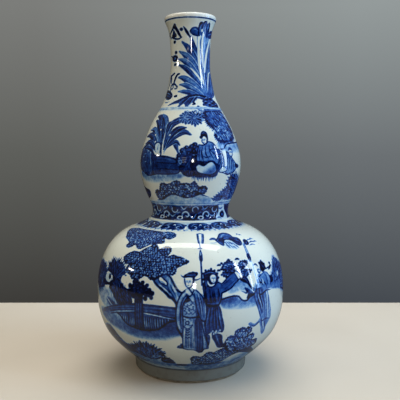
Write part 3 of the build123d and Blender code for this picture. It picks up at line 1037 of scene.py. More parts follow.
def attendant(b):
    """A man in a short tunic and boots, one arm raised, in a frilled cap."""
    skirt = [(15, 89), (26, 88.5), (30, 76), (31.8, 67), (30.4, 62.6), (26, 64.4), (20, 63), (16, 61),
             (12.6, 57), (10.8, 62), (11.6, 70), (13.6, 80)]
    tunic = [(12, 107), (15, 108.8), (18, 106), (22, 106.4), (26, 110), (30, 108.4), (33, 110.4), (36, 113),
             (40, 116), (45, 117.4), (48.4, 111), (44, 107.6), (40, 104), (34, 101), (30, 99.5), (29, 94),
             (27, 90), (24, 88), (17, 88), (15, 92), (12.6, 101)]
    boot = [(21, 62), (30, 59), (31.8, 52), (33.4, 48.8), (37.4, 46), (36.8, 44.6), (33, 44.6), (28.6, 45),
            (26.6, 48), (24.6, 52), (21.6, 57)]
    other_boot = [(13, 60), (18, 59.6), (18.6, 52), (17.6, 47.4), (14, 47), (13, 52)]
    b.shape(other_boot, DEEP, 0.8)
    b.area(boot, DARK)
    b.line([(24.6, 60), (27, 54), (29.4, 48.6)], 0.8, SOFT, "brush")
    b.outline(boot, 1.0, NAVY)
    b.area(skirt, DEEP, curved=False)
    for x0, x1, tone in ((16.4, 13.4, SOFT), (19, 17.6, MID), (21.6, 21.6, MID), (23.4, 25, SOFT),
                         (25, 28.6, PALE)):
        b.line([(x0, 87), ((x0 + x1) / 2 - 0.4, 76), (x1, 65)], 0.9, NAVY, "brush")
        b.line([(x0 + 1.1, 86), ((x0 + x1) / 2 + 0.8, 76), (x1 + 1, 67)], 0.55, tone, "brush")
    b.outline(skirt, 1.1, NAVY)
    for x, s in ((20, 62.4), (22.4, 61), (24.6, 61.6), (26.4, 63.4), (28.4, 64.4), (21.4, 64), (24.8, 64.2)):
        b.dot(x, s, 1.0, FAINT)
        b.line([(x + 0.9, s + 1), (x + 1.1, s - 1.4)], 0.6, NAVY)
    b.area(tunic, 0.66)
    b.area([(18, 96), (21, 104), (22.6, 96), (21, 90), (17, 90)], DARK, 0.8)
    b.outline(tunic, 1.2, NAVY)
    folds = ([(14, 106), (14.6, 98), (17, 91)], [(18, 104), (18.6, 97), (20, 90)],
             [(22, 104), (23, 96), (23.6, 90)], [(26, 106), (27, 99), (26, 92)],
             [(30, 106), (35, 109), (41, 113)], [(32, 103), (38, 106), (45, 111)])
    for path in folds:
        b.line(path, 1.1, NAVY, "leaf")
        b.line(nudged(path, 1.2, 0.5), 0.55, MID, "leaf")
    b.line([(16, 89.4), (20, 88.6), (26.6, 89)], 1.6, NAVY)
    b.line([(16.4, 91), (20, 90.4), (26.8, 90.8)], 0.5, SOFT)
    b.area([(44.4, 117.6), (47, 118.6), (50, 116), (50.6, 112.6), (48.6, 111.2)], BARE)
    b.outline([(44.6, 117.8), (47.2, 118.8), (50.2, 116), (50.6, 112.8), (48.4, 111)], 0.7, NAVY)
    cap = [(12.6, 115), (12.6, 118.4), (15, 120.6), (18, 120.4), (20, 121.8), (23, 120.8), (25, 119.4),
           (27, 117), (26.8, 113.4), (26.6, 110.6), (24.4, 109), (20, 108), (17, 107), (14, 104), (12.6, 108),
           (13, 112)]
    b.area(cap, NAVY)
    b.dots(((12.6, 118.4), (15, 121.2), (18, 121), (20.6, 122.4), (24, 120.8), (26.6, 118), (27, 114),
            (12.4, 113), (12.6, 109)), 1.1, NAVY)
    face(b, 22, 113.2, 6.2, 8.2, 0.3)
    b.line([(16.4, 112), (17.4, 108.6), (20.6, 107)], 1.4, BARE, "leaf")
    b.line([(14.4, 118), (17.4, 119), (21, 119.2), (24.4, 118)], 0.6, SOFT)
    b.line([(14.4, 113), (15, 108), (15.2, 104)], 0.8, MID, "leaf")


def banner_pole(b):
    """A slim pole with a banner at its top and a tassel under it."""
    b.line([(10.8, 130), (10.9, 120), (11, 108)], 1.6, DARK)
    b.area([(9.7, 137.6), (11.2, 142.5), (12.8, 138), (13.2, 132), (11.4, 129.4), (9.2, 132)], NAVY)
    b.line([(11.4, 140.4), (11.4, 135)], 0.8, FAINT, "leaf")
    b.line([(9.2, 143.6), (13.2, 143.6)], 1.0, NAVY)
    b.line([(11.3, 150), (11.4, 143.6)], 0.7, DEEP)
    b.area([(9.8, 163.6), (18.8, 163.4), (15.4, 150.4), (10.4, 150)], BARE, curved=False)
    b.line([(9.6, 163.8), (14, 164.6), (18.9, 163.4)], 1.3, MID)
    b.line([(10.6, 163), (10.2, 156), (10.8, 150)], 2.0, MID)
    b.line([(18.0, 163), (16.8, 157), (15, 150.4)], 2.4, MID)
    b.lines([[(9.7, 163), (9.5, 156), (10.2, 150)], [(18.9, 163), (17.8, 157), (16, 150.4)]], 0.6, NAVY)


def cloud(b):
    """A curling bank of cloud, with feathery wisps under it."""
    under = [(41, 150), (45, 152.6), (51, 153), (57, 150), (60, 146), (60, 141), (54, 140), (47, 141),
             (42, 145)]
    b.area(under, FAINT, 0.8)
    for x, s in ((44, 150), (47.6, 149.6), (51.4, 149), (55, 147.4), (46, 145.6), (50, 145), (54, 143.6),
                 (58, 144.4)):
        b.line([(x - 1.6, s + 1.2), (x + 0.4, s - 0.4), (x + 2.6, s - 3.2)], 1.0,
               b.random.choice([DEEP, MID, DARK]), "leaf")
    b.area([(25, 154), (28, 156.6), (32, 157), (35, 155), (36, 153), (31, 153.6)], DEEP)
    b.line([(24, 150), (30, 149.6), (35, 150.8)], 0.9, SOFT, "leaf")
    body = [(33, 153), (36.4, 155), (40, 158.4), (43, 161.4), (47, 163), (52, 163.6), (57, 162.6), (60, 160),
            (61, 156.4), (64, 155), (67.4, 154), (69.4, 151), (68.6, 147.4), (65.6, 144.6), (61.6, 145),
            (58.4, 148), (55.4, 151.6), (50, 153.4), (45, 152.4), (42.4, 149), (41, 146), (38, 147.4),
            (35.6, 150)]
    b.area(body, MID)
    b.area([(36, 152), (39, 149), (42, 147.4), (43.6, 151.6), (46.4, 153.4), (44, 156.4), (39, 155.4)], DARK,
           0.6)
    b.area([(53, 154), (58, 150), (63, 146), (67, 148), (68, 151), (63, 154), (58, 156)], DARK, 0.6)
    b.outline(body, 1.0, NAVY)
    for path, tone in (([(42, 156), (47, 160), (54, 161)], PALE), ([(46, 156), (52, 158), (58, 156.6)], SOFT),
                       ([(60, 152), (64, 151), (67, 149.4)], SOFT),
                       ([(41, 152), (46, 156.4), (54, 157.4)], NAVY)):
        b.line(path, 1.0, tone, "leaf")
    tail = [(72, 145), (73, 149.4), (77, 151), (80, 149.4), (80.6, 146), (78, 143.6), (74, 143.4)]
    b.area(tail, DARK)
    b.line([(75, 145), (78, 148)], 0.8, SOFT, "leaf")
    for x, s, reach in ((80, 148.6, 9), (81, 145.6, 12), (78, 142.4, 12), (86, 149.4, 9), (90, 145.4, 8),
                        (71.6, 158.6, 4.4), (75, 157, 4.4)):
        b.line([(x, s), (x + reach / 2, s + 1.0), (x + reach, s - 0.4)], 1.3, b.random.choice([DEEP, MID]),
               "leaf")


def right_trees(b):
    """Pads of leaves over a jagged bank, with a deep wash of distance under it."""
    b.area([(29, 94), (36, 95), (44, 95.6), (50, 91), (57, 89.6), (62, 93), (70, 95), (72, 92), (71, 84),
            (60, 82), (44, 83), (30, 86)], fade(82, 0.1, 92, 0.62), 1.0)
    b.area([(36, 102), (42, 106.4), (48, 110), (54, 107.6), (60, 103), (64, 98), (60, 96.4), (52, 100),
            (44, 99), (37, 98.6)], fade(97, 0.18, 108, 0.44), 0.8)
    b.area([(51, 97.6), (55, 92.4), (57, 91), (57, 95), (54, 98.6)], BARE)
    b.line([(30, 93.9), (36, 95.3), (42, 95.9), (47, 95), (50, 91.8), (53.4, 90.2), (57, 90.4), (60, 92.6),
            (66, 94.8)], 1.5, NAVY)
    b.area([(49.4, 99.8), (52, 98.8), (55.4, 96.4), (58, 97), (56, 92.6), (57.4, 90.4), (60.4, 93),
            (66, 94.8), (62, 97.4), (58.4, 99), (55.4, 102.6), (54, 102), (56.4, 97.6), (53, 99)], NAVY,
           curved=False)
    b.area([(54.6, 102.4), (57.4, 102), (61.6, 98.4), (66, 95.6), (64, 94.4), (59, 96), (56.4, 99)], DARK,
           curved=False)
    b.line([(57, 100.6), (61, 97.6), (64.4, 95.8)], 0.6, SOFT, "leaf")
    b.area([(49, 111.6), (52, 114), (56, 113.6), (59, 111), (60.6, 107.6), (62, 104), (67, 99), (65.4, 97.6),
            (60.6, 102), (58, 105.6), (54, 107.4), (50.6, 109.4)], NAVY, curved=False)
    b.line([(52, 111.6), (56.6, 110), (60, 105)], 0.8, MID, "leaf")
    pads = ([(31, 121.4), (33.4, 124.4), (36, 127), (41, 128.4), (45.4, 127), (46, 123.4), (43, 121),
             (37, 120.6)], [(31, 116.4), (34, 118.8), (38, 118.6), (41, 120.4), (45.6, 119.4), (46.4, 115.6),
                            (42, 113.6), (36.4, 114)], [(51, 123.6), (54, 127), (58.6, 127.4), (64, 126.4),
                                                        (60.6, 123.4), (56, 121.6), (52, 121.6)],
            [(51.6, 112), (51.6, 117), (55, 120.6), (58.6, 118.8), (62, 118.4), (66.4, 117.6), (61.6, 115),
             (58, 112.6)])
    for pad in pads:
        b.area(pad, DEEP)
        for x, s in b.scatter(pad, 2.7, 0.3):
            b.dot(x, s, 1.1, b.random.choice([NAVY, DARK, DEEP]), b.random.uniform(0.7, 1.0), 1.4)
            b.line([(x - 1.6, s + 1.0), (x + 1.3, s + 1.4)], 0.9, b.random.choice([SOFT, PALE, FAINT]),
                   "leaf")
        for spot, out in b.rim(pad, 2.6):
            b.dot(*(spot + out * 0.1), b.random.uniform(0.9, 1.5), NAVY, 0.8, b.random.uniform(-0.5, 0.5))
    for x, s, reach in ((27, 125, 4.4), (39, 129.4, 4), (26.6, 120, 3.4), (48.6, 129.6, 6), (31, 126.4, 3),
                        (38, 122, 3)):
        b.line([(x, s), (x + reach / 2, s + 0.8), (x + reach, s)], 2.0, NAVY, "leaf")
    b.lines([[(38, 120), (43, 116), (48, 111.5)], [(57, 124), (57, 118), (55, 112)]], 1.0, NAVY, "root")


def walker(b):
    """A man in a long robe who walks away with a bundle on his back."""
    b.area([(79, 112), (84, 114), (89, 112), (92, 107), (92, 100), (90, 96.6), (84, 97), (80, 100),
            (78, 106)], SOFT)
    b.area([(80, 104.6), (83.6, 103), (84.6, 98.6), (81, 98), (79, 101)], DARK)
    b.line([(84, 112.6), (86.6, 107), (86, 100)], 1.0, DEEP, "leaf")
    b.line([(88, 111.6), (90, 106), (89.6, 99.6)], 0.8, PALE, "leaf")
    b.line([(79.4, 111.4), (84, 113.4), (89.6, 111.6), (92.4, 106), (92.2, 100)], 0.9, DEEP)
    robe = [(65.6, 101), (66, 95), (67.4, 89), (69.6, 82.6), (72, 77), (74.4, 71.6), (73, 67.6), (76, 62),
            (79, 56), (82, 51.4), (85.6, 50.2), (87.4, 54), (87, 58), (89.4, 62), (92.4, 66.6), (92, 73.6),
            (89.8, 81), (87.4, 88), (85.6, 95), (84, 100), (80, 104), (74, 105), (68.4, 104)]
    b.area(robe, 0.38)
    b.area([(83, 94), (87, 84), (90.6, 76), (92.4, 67), (87, 64), (84.6, 72), (82.4, 84)], 0.26, 1.0)
    b.area([(68, 101), (68.4, 94), (71, 86), (74.6, 78), (77, 74), (79.4, 80), (78, 90), (76, 100)], DEEP,
           0.8)
    for path in ([(69, 99), (70, 91), (74, 82), (76.4, 74)], [(72.4, 101), (73.6, 92), (77, 82), (78.6, 72)],
                 [(77, 101), (78.6, 91), (80.6, 80), (81.4, 66)],
                 [(81.6, 98), (83, 88), (84.6, 76), (84, 64)], [(76, 70), (79, 62), (83, 55)],
                 [(80.4, 68), (83.4, 62), (86, 57)], [(86, 90), (87.4, 80), (88.6, 70)]):
        b.line(path, 0.9, DARK, "leaf")
        b.line(nudged(path, 1.5, 0.4), 1.1, b.random.choice([FAINT, PALE, SOFT]), "leaf")
    b.line([(70, 100), (66, 95), (67, 89), (70, 82), (74.4, 71.6)], 1.0, DARK)
    b.line([(75, 68), (79, 66.4), (84, 67.6), (91, 66)], 1.2, DARK, "leaf")
    b.line([(84, 100), (86, 93), (89, 84), (91.6, 75), (92.2, 67)], 0.6, DEEP)
    b.area([(74, 70), (71, 67), (67, 65.6), (62, 68), (59, 66.6), (63, 63.4), (68, 62.6), (73, 65)], SOFT)
    b.line([(64, 64), (68, 63), (73.6, 66)], 0.9, DARK)
    b.line([(71, 95), (76, 93), (83, 95.6), (92, 95)], 1.3, NAVY, "leaf")
    shoulders = [(66, 102), (69, 106.4), (73, 109), (77, 109.6), (80, 107), (80, 102), (74, 100), (68, 100)]
    b.area(shoulders, PALE)
    b.lines(([(69, 106), (70, 102), (69, 98)], [(73, 109), (75, 105), (73, 100)],
             [(76.6, 109.4), (78, 105), (77, 101)], [(71, 105), (76, 104.6), (80, 101)]), 1.2, NAVY, "leaf")
    b.area([(73, 112), (76, 113), (80, 111), (79, 108), (75, 108)], SOFT)
    b.line([(72, 110), (76, 110.4), (80, 113)], 1.0, NAVY, "leaf")
    face(b, 76.6, 116.4, 4.6, 5.6, -0.5)
    b.area([(79, 117), (79.6, 121), (81, 124), (85, 124.4), (87.6, 122), (88.6, 117.6), (85.6, 115),
            (81.4, 114)], NAVY)
    b.dots(((80, 123), (84, 124.6), (87.8, 121), (88, 117)), 1.2, NAVY)
    b.line([(82.4, 121.6), (84.4, 119), (86, 117.4)], 0.9, MID, "leaf")
    b.line([(70, 122), (74, 122.6), (77, 119.6)], 1.3, NAVY, "leaf")
    b.line([(86, 115.6), (91, 116.4), (98, 117.4)], 1.2, NAVY, "leaf")
    b.area([(93, 114.4), (97, 115), (101, 118), (98, 118.8), (94, 116.6)], NAVY)
    b.dot(98.8, 120.4, 1.7, NAVY, 0.7)
    b.line([(70.4, 146), (69, 138), (67.8, 127)], 2.2, PALE)
    b.line([(67.8, 127), (68.4, 112), (70, 104)], 1.6, BARE)
    b.line([(71.6, 146), (70.2, 138), (69.2, 127)], 0.8, DEEP)
    b.line([(69, 145), (67.6, 137), (66.6, 127)], 0.7, DEEP)
    b.line([(69.6, 126), (70, 114), (71.4, 105)], 0.7, SOFT)
    b.area([(66, 133.6), (70.4, 134), (70.2, 128), (68, 125.6), (65.8, 128)], DARK)


def far_right(b):
    """A willow and reeds over a band of blue distance."""
    b.area([(90, 102), (104, 101), (120, 100), (126, 97), (126, 88), (112, 92), (96, 95), (90, 97)],
           fade(90, 0.36, 101, 0.5), 0.6)
    reeds = [(118, 121), (126, 118), (138, 114), (150, 110), (158, 106), (158, 80), (148, 82), (136, 85.6),
             (124, 89), (118, 94)]
    willow_mass(b, reeds, (130, 104), 168, MID, (SOFT, PALE, FAINT), (DARK, DEEP))
    b.line([(118, 92), (130, 88), (144, 84), (158, 81)], 1.6, DARK)
    willow_mass(b, [(101, 112), (104, 117), (108, 121), (113, 124), (118, 123), (122, 119), (124, 113),
                    (123, 107), (121, 102), (112, 101.4), (104, 101.6), (97, 102.6), (94, 106), (98, 110)],
                (112, 100), 62, MID, (SOFT, PALE, FAINT), (NAVY, DARK, DEEP))
    b.area([(91, 108), (94, 109), (97.6, 106), (99, 103), (95, 101.6), (92, 103)], NAVY)
    # A pale patch in the willow is a painted highlight, where a lamp shines in the glaze
    b.area([(109.6, 107), (111, 109.6), (114, 110), (115.6, 107.6), (114, 105.4), (111, 105.2)], FAINT, 0.5)
    b.line([(92, 96), (104, 95), (114, 93)], 0.6, MID, "leaf")


def base_lines(sheet):
    """A wash that pales downwards between two dark lines round the foot of the bulb."""
    for s, width, tone in ((11, 6.0, 0.34), (7.4, 5.0, 0.24), (3.2, 5.0, 0.14), (14.0, 4.6, DARK),
                           (0.0, 2.2, DEEP)):
        sheet.hoop(s, width, tone, BELLY_HOOP_POINTS)


def front(b):
    """The garden on the front of the lower bulb, from the farthest motifs to the nearest."""
    far_left(b)
    fence(b)
    lobed_tree(b)
    pine(b)
    right_trees(b)
    far_right(b)
    ground_left(b)
    ground_right(b)
    cloud(b)
    walker(b)
    banner_pole(b)
    attendant(b)
    official(b)


# Motifs of the upper bulb, in millimetres


def blade(b, path, width, tone=MID, vein=PALE, gap=1.3, edge=NAVY):
    """A leaf: a pointed stroke with dark edges and a pale vein, parted from the rest by a white gap."""
    b.line(path, width + gap, BARE, "leaf")
    b.line(path, width, edge, "leaf")
    b.line(nudged(path, 0.2, 0.3), width * 0.74, tone, "leaf")
    b.line(nudged(path, -width * 0.14, -width * 0.14), width * 0.16, edge, "leaf")
    b.line(nudged(path, width * 0.16, width * 0.16), 0.5, vein, "leaf")


def plantain(b):
    """A plantain with broad torn leaves round pale stems."""
    b.area([(-46, 262), (-52, 272), (-46, 284), (-36, 292), (-26, 288), (-20, 276), (-14, 264), (-20, 270),
            (-27, 268), (-34, 268)], DARK)
    leaves = (
        ([(-33, 262), (-35, 274), (-40, 288), (-48, 297), (-58, 299)], 6.0, DEEP),
        ([(-34, 266), (-39, 279), (-47, 290), (-57, 294)], 4.6, DEEP),
        ([(-32, 268), (-32.6, 282), (-37, 294), (-47, 300.6)], 6.4, MID),
        ([(-35, 264), (-42, 274), (-51, 283), (-61, 283)], 5.0, SOFT),
        ([(-36, 262), (-44, 270), (-54, 277), (-67, 276)], 5.4, DEEP),
        ([(-37, 259), (-45, 266), (-54, 270), (-64, 268)], 4.0, DARK),
        ([(-40, 256), (-47, 262), (-55, 264), (-62, 262)], 3.4, DARK),
        ([(-28, 260), (-23, 269), (-18, 270), (-15, 265), (-12, 258)], 4.0, DEEP),
        ([(-28, 262), (-20, 268), (-15, 270), (-11, 266)], 2.6, DARK),
        ([(-28, 262), (-22, 272), (-13, 278.6), (-6, 280), (1, 277)], 5.0, DEEP),
        ([(-29, 262), (-25, 273), (-18, 281), (-12, 284), (-5, 284.6)], 5.0, DARK),
        ([(-30, 264), (-29, 277), (-24, 288), (-15, 293), (-7, 295.4), (1, 297)], 5.6, DEEP),
        ([(-30, 266), (-30, 280), (-27, 289), (-20, 291)], 4.2, DARK),
    )
    for path, width, tone in leaves:
        blade(b, path, width * 1.34, tone, SOFT, 0.8)
    b.dots(((-46, 277.4), (-39, 283), (-24, 277), (-43, 270)), 1.2, BARE, 0.7, 0.6)
    b.line([(-30, 257), (-30.8, 266), (-31, 278), (-31.6, 292)], 1.7, BARE, "tail")
    b.line([(-33, 258), (-35.4, 268), (-38, 280)], 1.1, PALE, "tail")
    b.line([(-28, 258), (-26.6, 268), (-24, 278)], 1.0, PALE, "tail")
    b.line([(-31.6, 256), (-31.8, 262), (-32.4, 268)], 1.4, NAVY, "tail")
    b.area([(-41, 262), (-42, 267), (-38, 269.4), (-33.6, 266.6), (-33, 259), (-36, 258)], FAINT)
    b.line([(-41, 262), (-42, 267), (-38, 269.4), (-33.6, 266.6), (-33, 259)], 0.9, NAVY)
    b.line([(-37, 267), (-37, 262)], 0.8, SOFT)


def bench(b):
    """A dark rock and a long terrace behind the plantain, with a wash under them."""
    b.area([(-66, 240), (-44, 236), (-14, 239), (-8, 234), (-30, 229), (-50, 228), (-66, 232)],
           fade(227, 0.1, 239, 0.55), 1.4)
    body = [(-70, 262), (-60, 267), (-48, 267), (-44, 258), (-38, 256), (-24, 255), (-12, 251.6), (-9, 246),
            (-12, 239), (-22, 237.6), (-36, 237.4), (-50, 235.6), (-60, 239), (-70, 244)]
    b.area(body, 0.76)
    b.area([(-52, 262), (-47, 264), (-42, 256), (-38, 250), (-38, 241), (-44, 238), (-52, 240), (-55, 250)],
           DEEP)
    streaks(b, [(-66, 262), (-50, 264), (-40, 254), (-38, 240), (-52, 237), (-66, 242)], 3.4, 100, 6, 0.9,
            [MID, DEEP, NAVY])
    b.area([(-37, 255), (-24, 254), (-13, 250.6), (-13, 248.6), (-24, 250), (-37, 250.6)], DEEP)
    b.line([(-36, 253.4), (-24, 252.6), (-14, 250)], 0.8, MID, "brush")
    for s in (248, 242):
        b.line([(-36, s + 1), (-24, s + 0.6), (-12, s)], 0.9, NAVY, "brush")
    b.line([(-37, 255.6), (-24, 254.6), (-12, 251)], 0.8, NAVY)
    for x, s in ((-57, 257), (-60, 254), (-55, 249), (-51, 260), (-62, 262)):
        b.line([(x - 2, s), (x + 2, s + 1)], 0.9, PALE, "leaf")
    b.line([(-48, 264), (-45.6, 252), (-44, 240)], 0.8, PALE, "brush")
    b.outline(body, 1.0, NAVY)
    b.dots(((-57, 267), (-52, 269), (-61, 264)), 2.0, NAVY)


def star_tree(b, x, s, radius, count=13, light=PALE):
    """A flat rosette of pointed leaves, as of a plane or maple."""
    for k in range(count):
        turn = 2 * math.pi * k / count + 0.12
        reach = radius * (1 if k % 2 else 0.86)
        far = (x + reach * math.cos(turn), s + reach * 0.84 * math.sin(turn))
        near = (x + 1.4 * math.cos(turn), s + 1.4 * math.sin(turn))
        path = [near, ((near[0] * 0.4 + far[0] * 0.6) + 0.3, near[1] * 0.4 + far[1] * 0.6), far]
        b.line(path, 3.6, light, "leaf")
        b.line(path, 2.4, [NAVY, DARK][k % 2], "leaf")
        b.line([near, far], 0.45, MID, "leaf")
    b.dot(x + 0.4, s + 0.2, 1.1, light)
    b.dot(x + 0.4, s + 0.2, 0.5, NAVY)


def overhang(b):
    """Trees that hang over the seated man from the right."""
    b.area([(-12, 294), (-11, 299), (-4, 302), (4, 303), (12, 302), (18, 299), (18, 293), (11, 290), (2, 289),
            (-7, 291)], SOFT)
    star_tree(b, -7, 296, 9.5, 12)
    star_tree(b, 16, 300, 7, 10)
    star_tree(b, 5.5, 295.5, 12.0, 15)
    for x, s in ((8, 301.6), (11.4, 303.4), (14.6, 302), (19.4, 303), (-3, 303.4), (20.6, 298)):
        b.dot(x, s, 1.5, BARE)
        b.ring(x, s, 1.5, 0.5, NAVY, 1.0)
        b.dot(x + 0.3, s, 0.5, NAVY)
    mass = [(22, 304), (20, 296), (22, 289), (27, 285), (31, 280), (29, 274), (34, 269.5), (42, 268.6),
            (50, 270), (58, 271), (66, 275), (68, 284), (66, 294), (62, 305), (46, 306), (32, 306)]
    b.area(mass, MID)

    def sweep(x, s):
        return math.radians(118 + (x - 20) * 0.5)

    streaks(b, mass, 2.5, sweep, 7.0, 1.4, [NAVY, DARK, DEEP, MID])
    streaks(b, [(24, 304), (22, 296), (24, 290), (44, 289), (64, 292), (60, 305), (40, 306)], 3.4, sweep, 5.5,
            0.8, [SOFT, PALE])
    for x, s, r in ((36, 288, 6), (34, 277, 6), (54, 276, 7), (61, 284, 6), (44, 281, 8)):
        star_tree(b, x, s, r, 10, SOFT)
    for x, s, size in ((49, 284, 2.4), (52, 280.6, 1.6), (39, 284, 1.4), (58, 289, 1.8)):
        b.dot(x, s, size, PALE, 0.6, 0.3)
    streaks(b, [(30, 288), (31, 276), (40, 271), (54, 273), (62, 280), (60, 290), (46, 292)], 4.0, sweep, 6,
            0.9, [PALE, SOFT, NAVY])
    bristles(b, mass, (44, 292), 2.6, 1.6, 1.9)
    streaks(b, [(30, 288), (31, 276), (40, 271), (54, 273), (60, 282), (56, 290), (44, 291)], 4.6, sweep, 5,
            1.3, [PALE, SOFT])
    for x, s, long in ((49, 282, 3.0), (36, 282, 2.0), (38, 286, 1.6), (34, 275, 1.4)):
        b.line([(x - long, s - 0.8), (x, s), (x + long, s + 1)], 1.4, FAINT, "leaf")


def seated_man(b):
    """A man who sits on a rock in a loose robe, with a round cap."""
    robe = [(9, 267), (13, 266.4), (17, 268), (20, 270), (24, 269), (27, 266), (29, 258), (30, 251),
            (27, 246), (24, 250), (19, 250.6), (14, 248), (8, 249), (6, 252), (7, 259)]
    b.area(robe, 0.46)
    for path in ([(10, 264), (8.6, 257), (9, 251)], [(12.6, 265), (11.4, 258), (13, 250)],
                 [(16, 266), (15.6, 258), (19, 252)], [(20, 268), (20, 260), (24, 252)],
                 [(24, 267), (25, 260), (27, 252)], [(12, 256), (16, 254), (22, 256)]):
        b.line(nudged(path, 1.2), 1.0, SOFT, "leaf")
        b.line(path, 1.0, NAVY, "leaf")
    b.outline(robe, 1.0, NAVY)
    seat = [(5, 245), (8, 247.6), (13, 246), (18, 249), (22, 249.8), (26, 246), (26.4, 240), (20, 237),
            (13, 238), (7, 240)]
    b.area([(2, 250), (4, 236), (12, 234.6), (26, 235), (29, 240), (28, 248)], DARK)
    b.area(seat, FAINT)
    b.area([(14, 240), (20, 243), (26, 246), (26, 240), (20, 237), (14, 238)], MID, 1.4)
    b.outline(seat, 0.9, NAVY)
    face(b, 15.2, 271.2, 5.6, 7.2, -0.5)
    b.area([(12.2, 274), (11.6, 277), (13, 280.4), (16, 281.2), (19, 279.4), (19.8, 275.6), (19.4, 271),
            (18, 268.4), (18, 273.4), (15.6, 275.6)], NAVY)
    b.dot(12, 274.6, 1.6, NAVY)
    b.line([(13.2, 278.4), (15.8, 279.4), (18, 277.8)], 0.6, SOFT)
    b.shape([(20, 262), (27, 262.6), (33, 261), (33, 257.6), (26, 257)], MID, 0.8)


def companion(b):
    """A kneeling figure at the right, half hidden by rocks, with a table edge behind."""
    b.area([(30, 268), (45, 267), (60, 267.6), (80, 269), (82, 262), (66, 258), (48, 258), (34, 260)],
           fade(255, 0.05, 268, 0.42), 1.2)
    b.line([(32, 262.5), (37, 262.6), (42, 266.4), (46, 268), (60, 269), (80, 270.4)], 1.2, NAVY)
    body = [(28, 262), (33, 260.4), (35.6, 254), (36.4, 246), (34, 242), (27, 241), (25.6, 247), (28, 254)]
    b.area(body, MID)
    for x in (28.6, 31, 33.4):
        b.line([(x, 259.6), (x + 0.6, 251), (x - 0.8, 243)], 0.9, NAVY, "leaf")
        b.line([(x + 1.1, 259), (x + 1.6, 251), (x + 0.2, 244)], 0.7, PALE, "leaf")
    b.outline(body, 0.8, DARK)
    # A white streak at the figure's left is a painted highlight of the window in the glaze
    b.line([(26.4, 262.6), (27.4, 256), (27, 250)], 1.5, BARE, "brush")
    robe = [(41, 260), (45, 257), (49, 253), (54, 248.6), (58, 245), (54, 240.4), (46, 237.4), (40, 237),
            (38, 243), (40, 249)]
    b.shape(robe, SOFT, 0.9, DARK)
    for path in ([(41, 254), (41.6, 246), (40, 240)], [(43.4, 257), (44.4, 248), (43, 240)],
                 [(45.6, 255), (48, 247), (47, 240)], [(48, 252), (51, 247), (51, 241)]):
        b.line(path, 1.0, NAVY, "leaf")
        b.line(nudged(path, 1.2), 0.7, PALE, "leaf")
    # A white streak at the robe's left is partly a gap in the paint and partly a painted highlight
    b.line([(38.6, 260), (38.6, 252), (39, 246)], 2.6, BARE, "brush")
    face(b, 47.4, 258.4, 6.4, 7.6, 0.2)
    b.area([(43.8, 260.6), (45, 263.4), (48.4, 264.4), (51, 262), (51.4, 258.6), (49.8, 261), (46.6, 261.6)],
           DEEP)
    b.area([(54, 247.6), (60, 247), (64, 244.6), (60, 243), (55, 244)], DARK)
    b.line([(24, 240), (32, 239.4), (42, 237.2), (48, 240)], 0.9, NAVY, "leaf")
    b.shape([(30, 241), (34, 245), (38, 244), (39.6, 241), (36, 239.6), (31, 239.4)], FAINT, 0.7)


def centre_rock(b):
    """A dark rock with bushes beside the seated man, and grass under it."""
    rock = [(-10, 252), (-8, 258), (-4, 261), (2, 258), (6, 253), (5, 245), (3, 237), (-3, 235.6), (-8, 239),
            (-11, 244)]
    b.area(rock, DARK)
    streaks(b, rock, 3.2, 80, 5, 0.8, [DEEP, MID])
    b.outline(rock, 1.0, NAVY)
    dotted_shrub(b, [(-12, 247), (-13, 253), (-10, 258), (-7, 263), (-2, 263), (3, 267), (6.6, 266), (7, 260),
                     (5, 255), (0, 258), (-5, 256), (-8, 250), (-9, 245)], 2.6, NAVY, (SOFT, MID, PALE), 0.6)
    for x, s, r in ((-9, 261, 2.2), (-4, 264, 2.2), (1, 265, 2.4), (5, 267, 2.4), (-12, 256, 2.0),
                    (3, 260, 3.0), (-2, 258, 2.6)):
        b.dot(x, s, r, NAVY)
        b.dot(x + 0.5, s + 0.5, 0.6, SOFT)
    b.area([(-10, 256), (-6, 258), (-5, 254), (-9, 252)], DARK)
    b.ring(-10, 250, 1.5, 0.6, PALE)
    for k in range(19):
        x = 2 + 1.35 * k
        low = 229.5 + b.random.uniform(0, 3)
        b.line([(x, 237), (x + b.random.uniform(-1, 1), low)], 1.1, b.random.choice([NAVY, DARK, DEEP]),
               "tail")


def low_shrubs(b):
    """Dotted shrubs on a pale hill under the figures."""
    b.area([(-46, 209), (-34, 213), (-20, 218), (-6, 215), (8, 219), (16, 214.5), (24, 212.6), (24, 206.4),
            (-10, 206), (-46, 206)], PALE, 0.6)
    shrub = [(-44, 217), (-42, 219.4), (-38, 218.6), (-36, 216), (-36, 220), (-33, 226), (-30, 227.4),
             (-26, 225.6), (-22, 226.6), (-17, 229.2), (-13, 230), (-10, 226.6), (-5, 227.6), (0, 226.4),
             (4, 229), (7, 225.4), (10, 223.4), (14, 224.4), (17, 222), (16, 219), (12, 218.4), (8, 217.4),
             (2, 215), (-5, 214), (-12, 216), (-20, 217.6), (-27, 215.6), (-35, 212), (-41, 211)]
    dotted_shrub(b, shrub)
    b.line([(-46, 209.4), (-38, 210.4), (-32, 213.4), (-24, 217)], 1.4, NAVY, "root")
    b.line([(-8, 215), (2, 219), (8, 219.4), (14, 216), (22, 213.4)], 1.3, NAVY, "leaf")


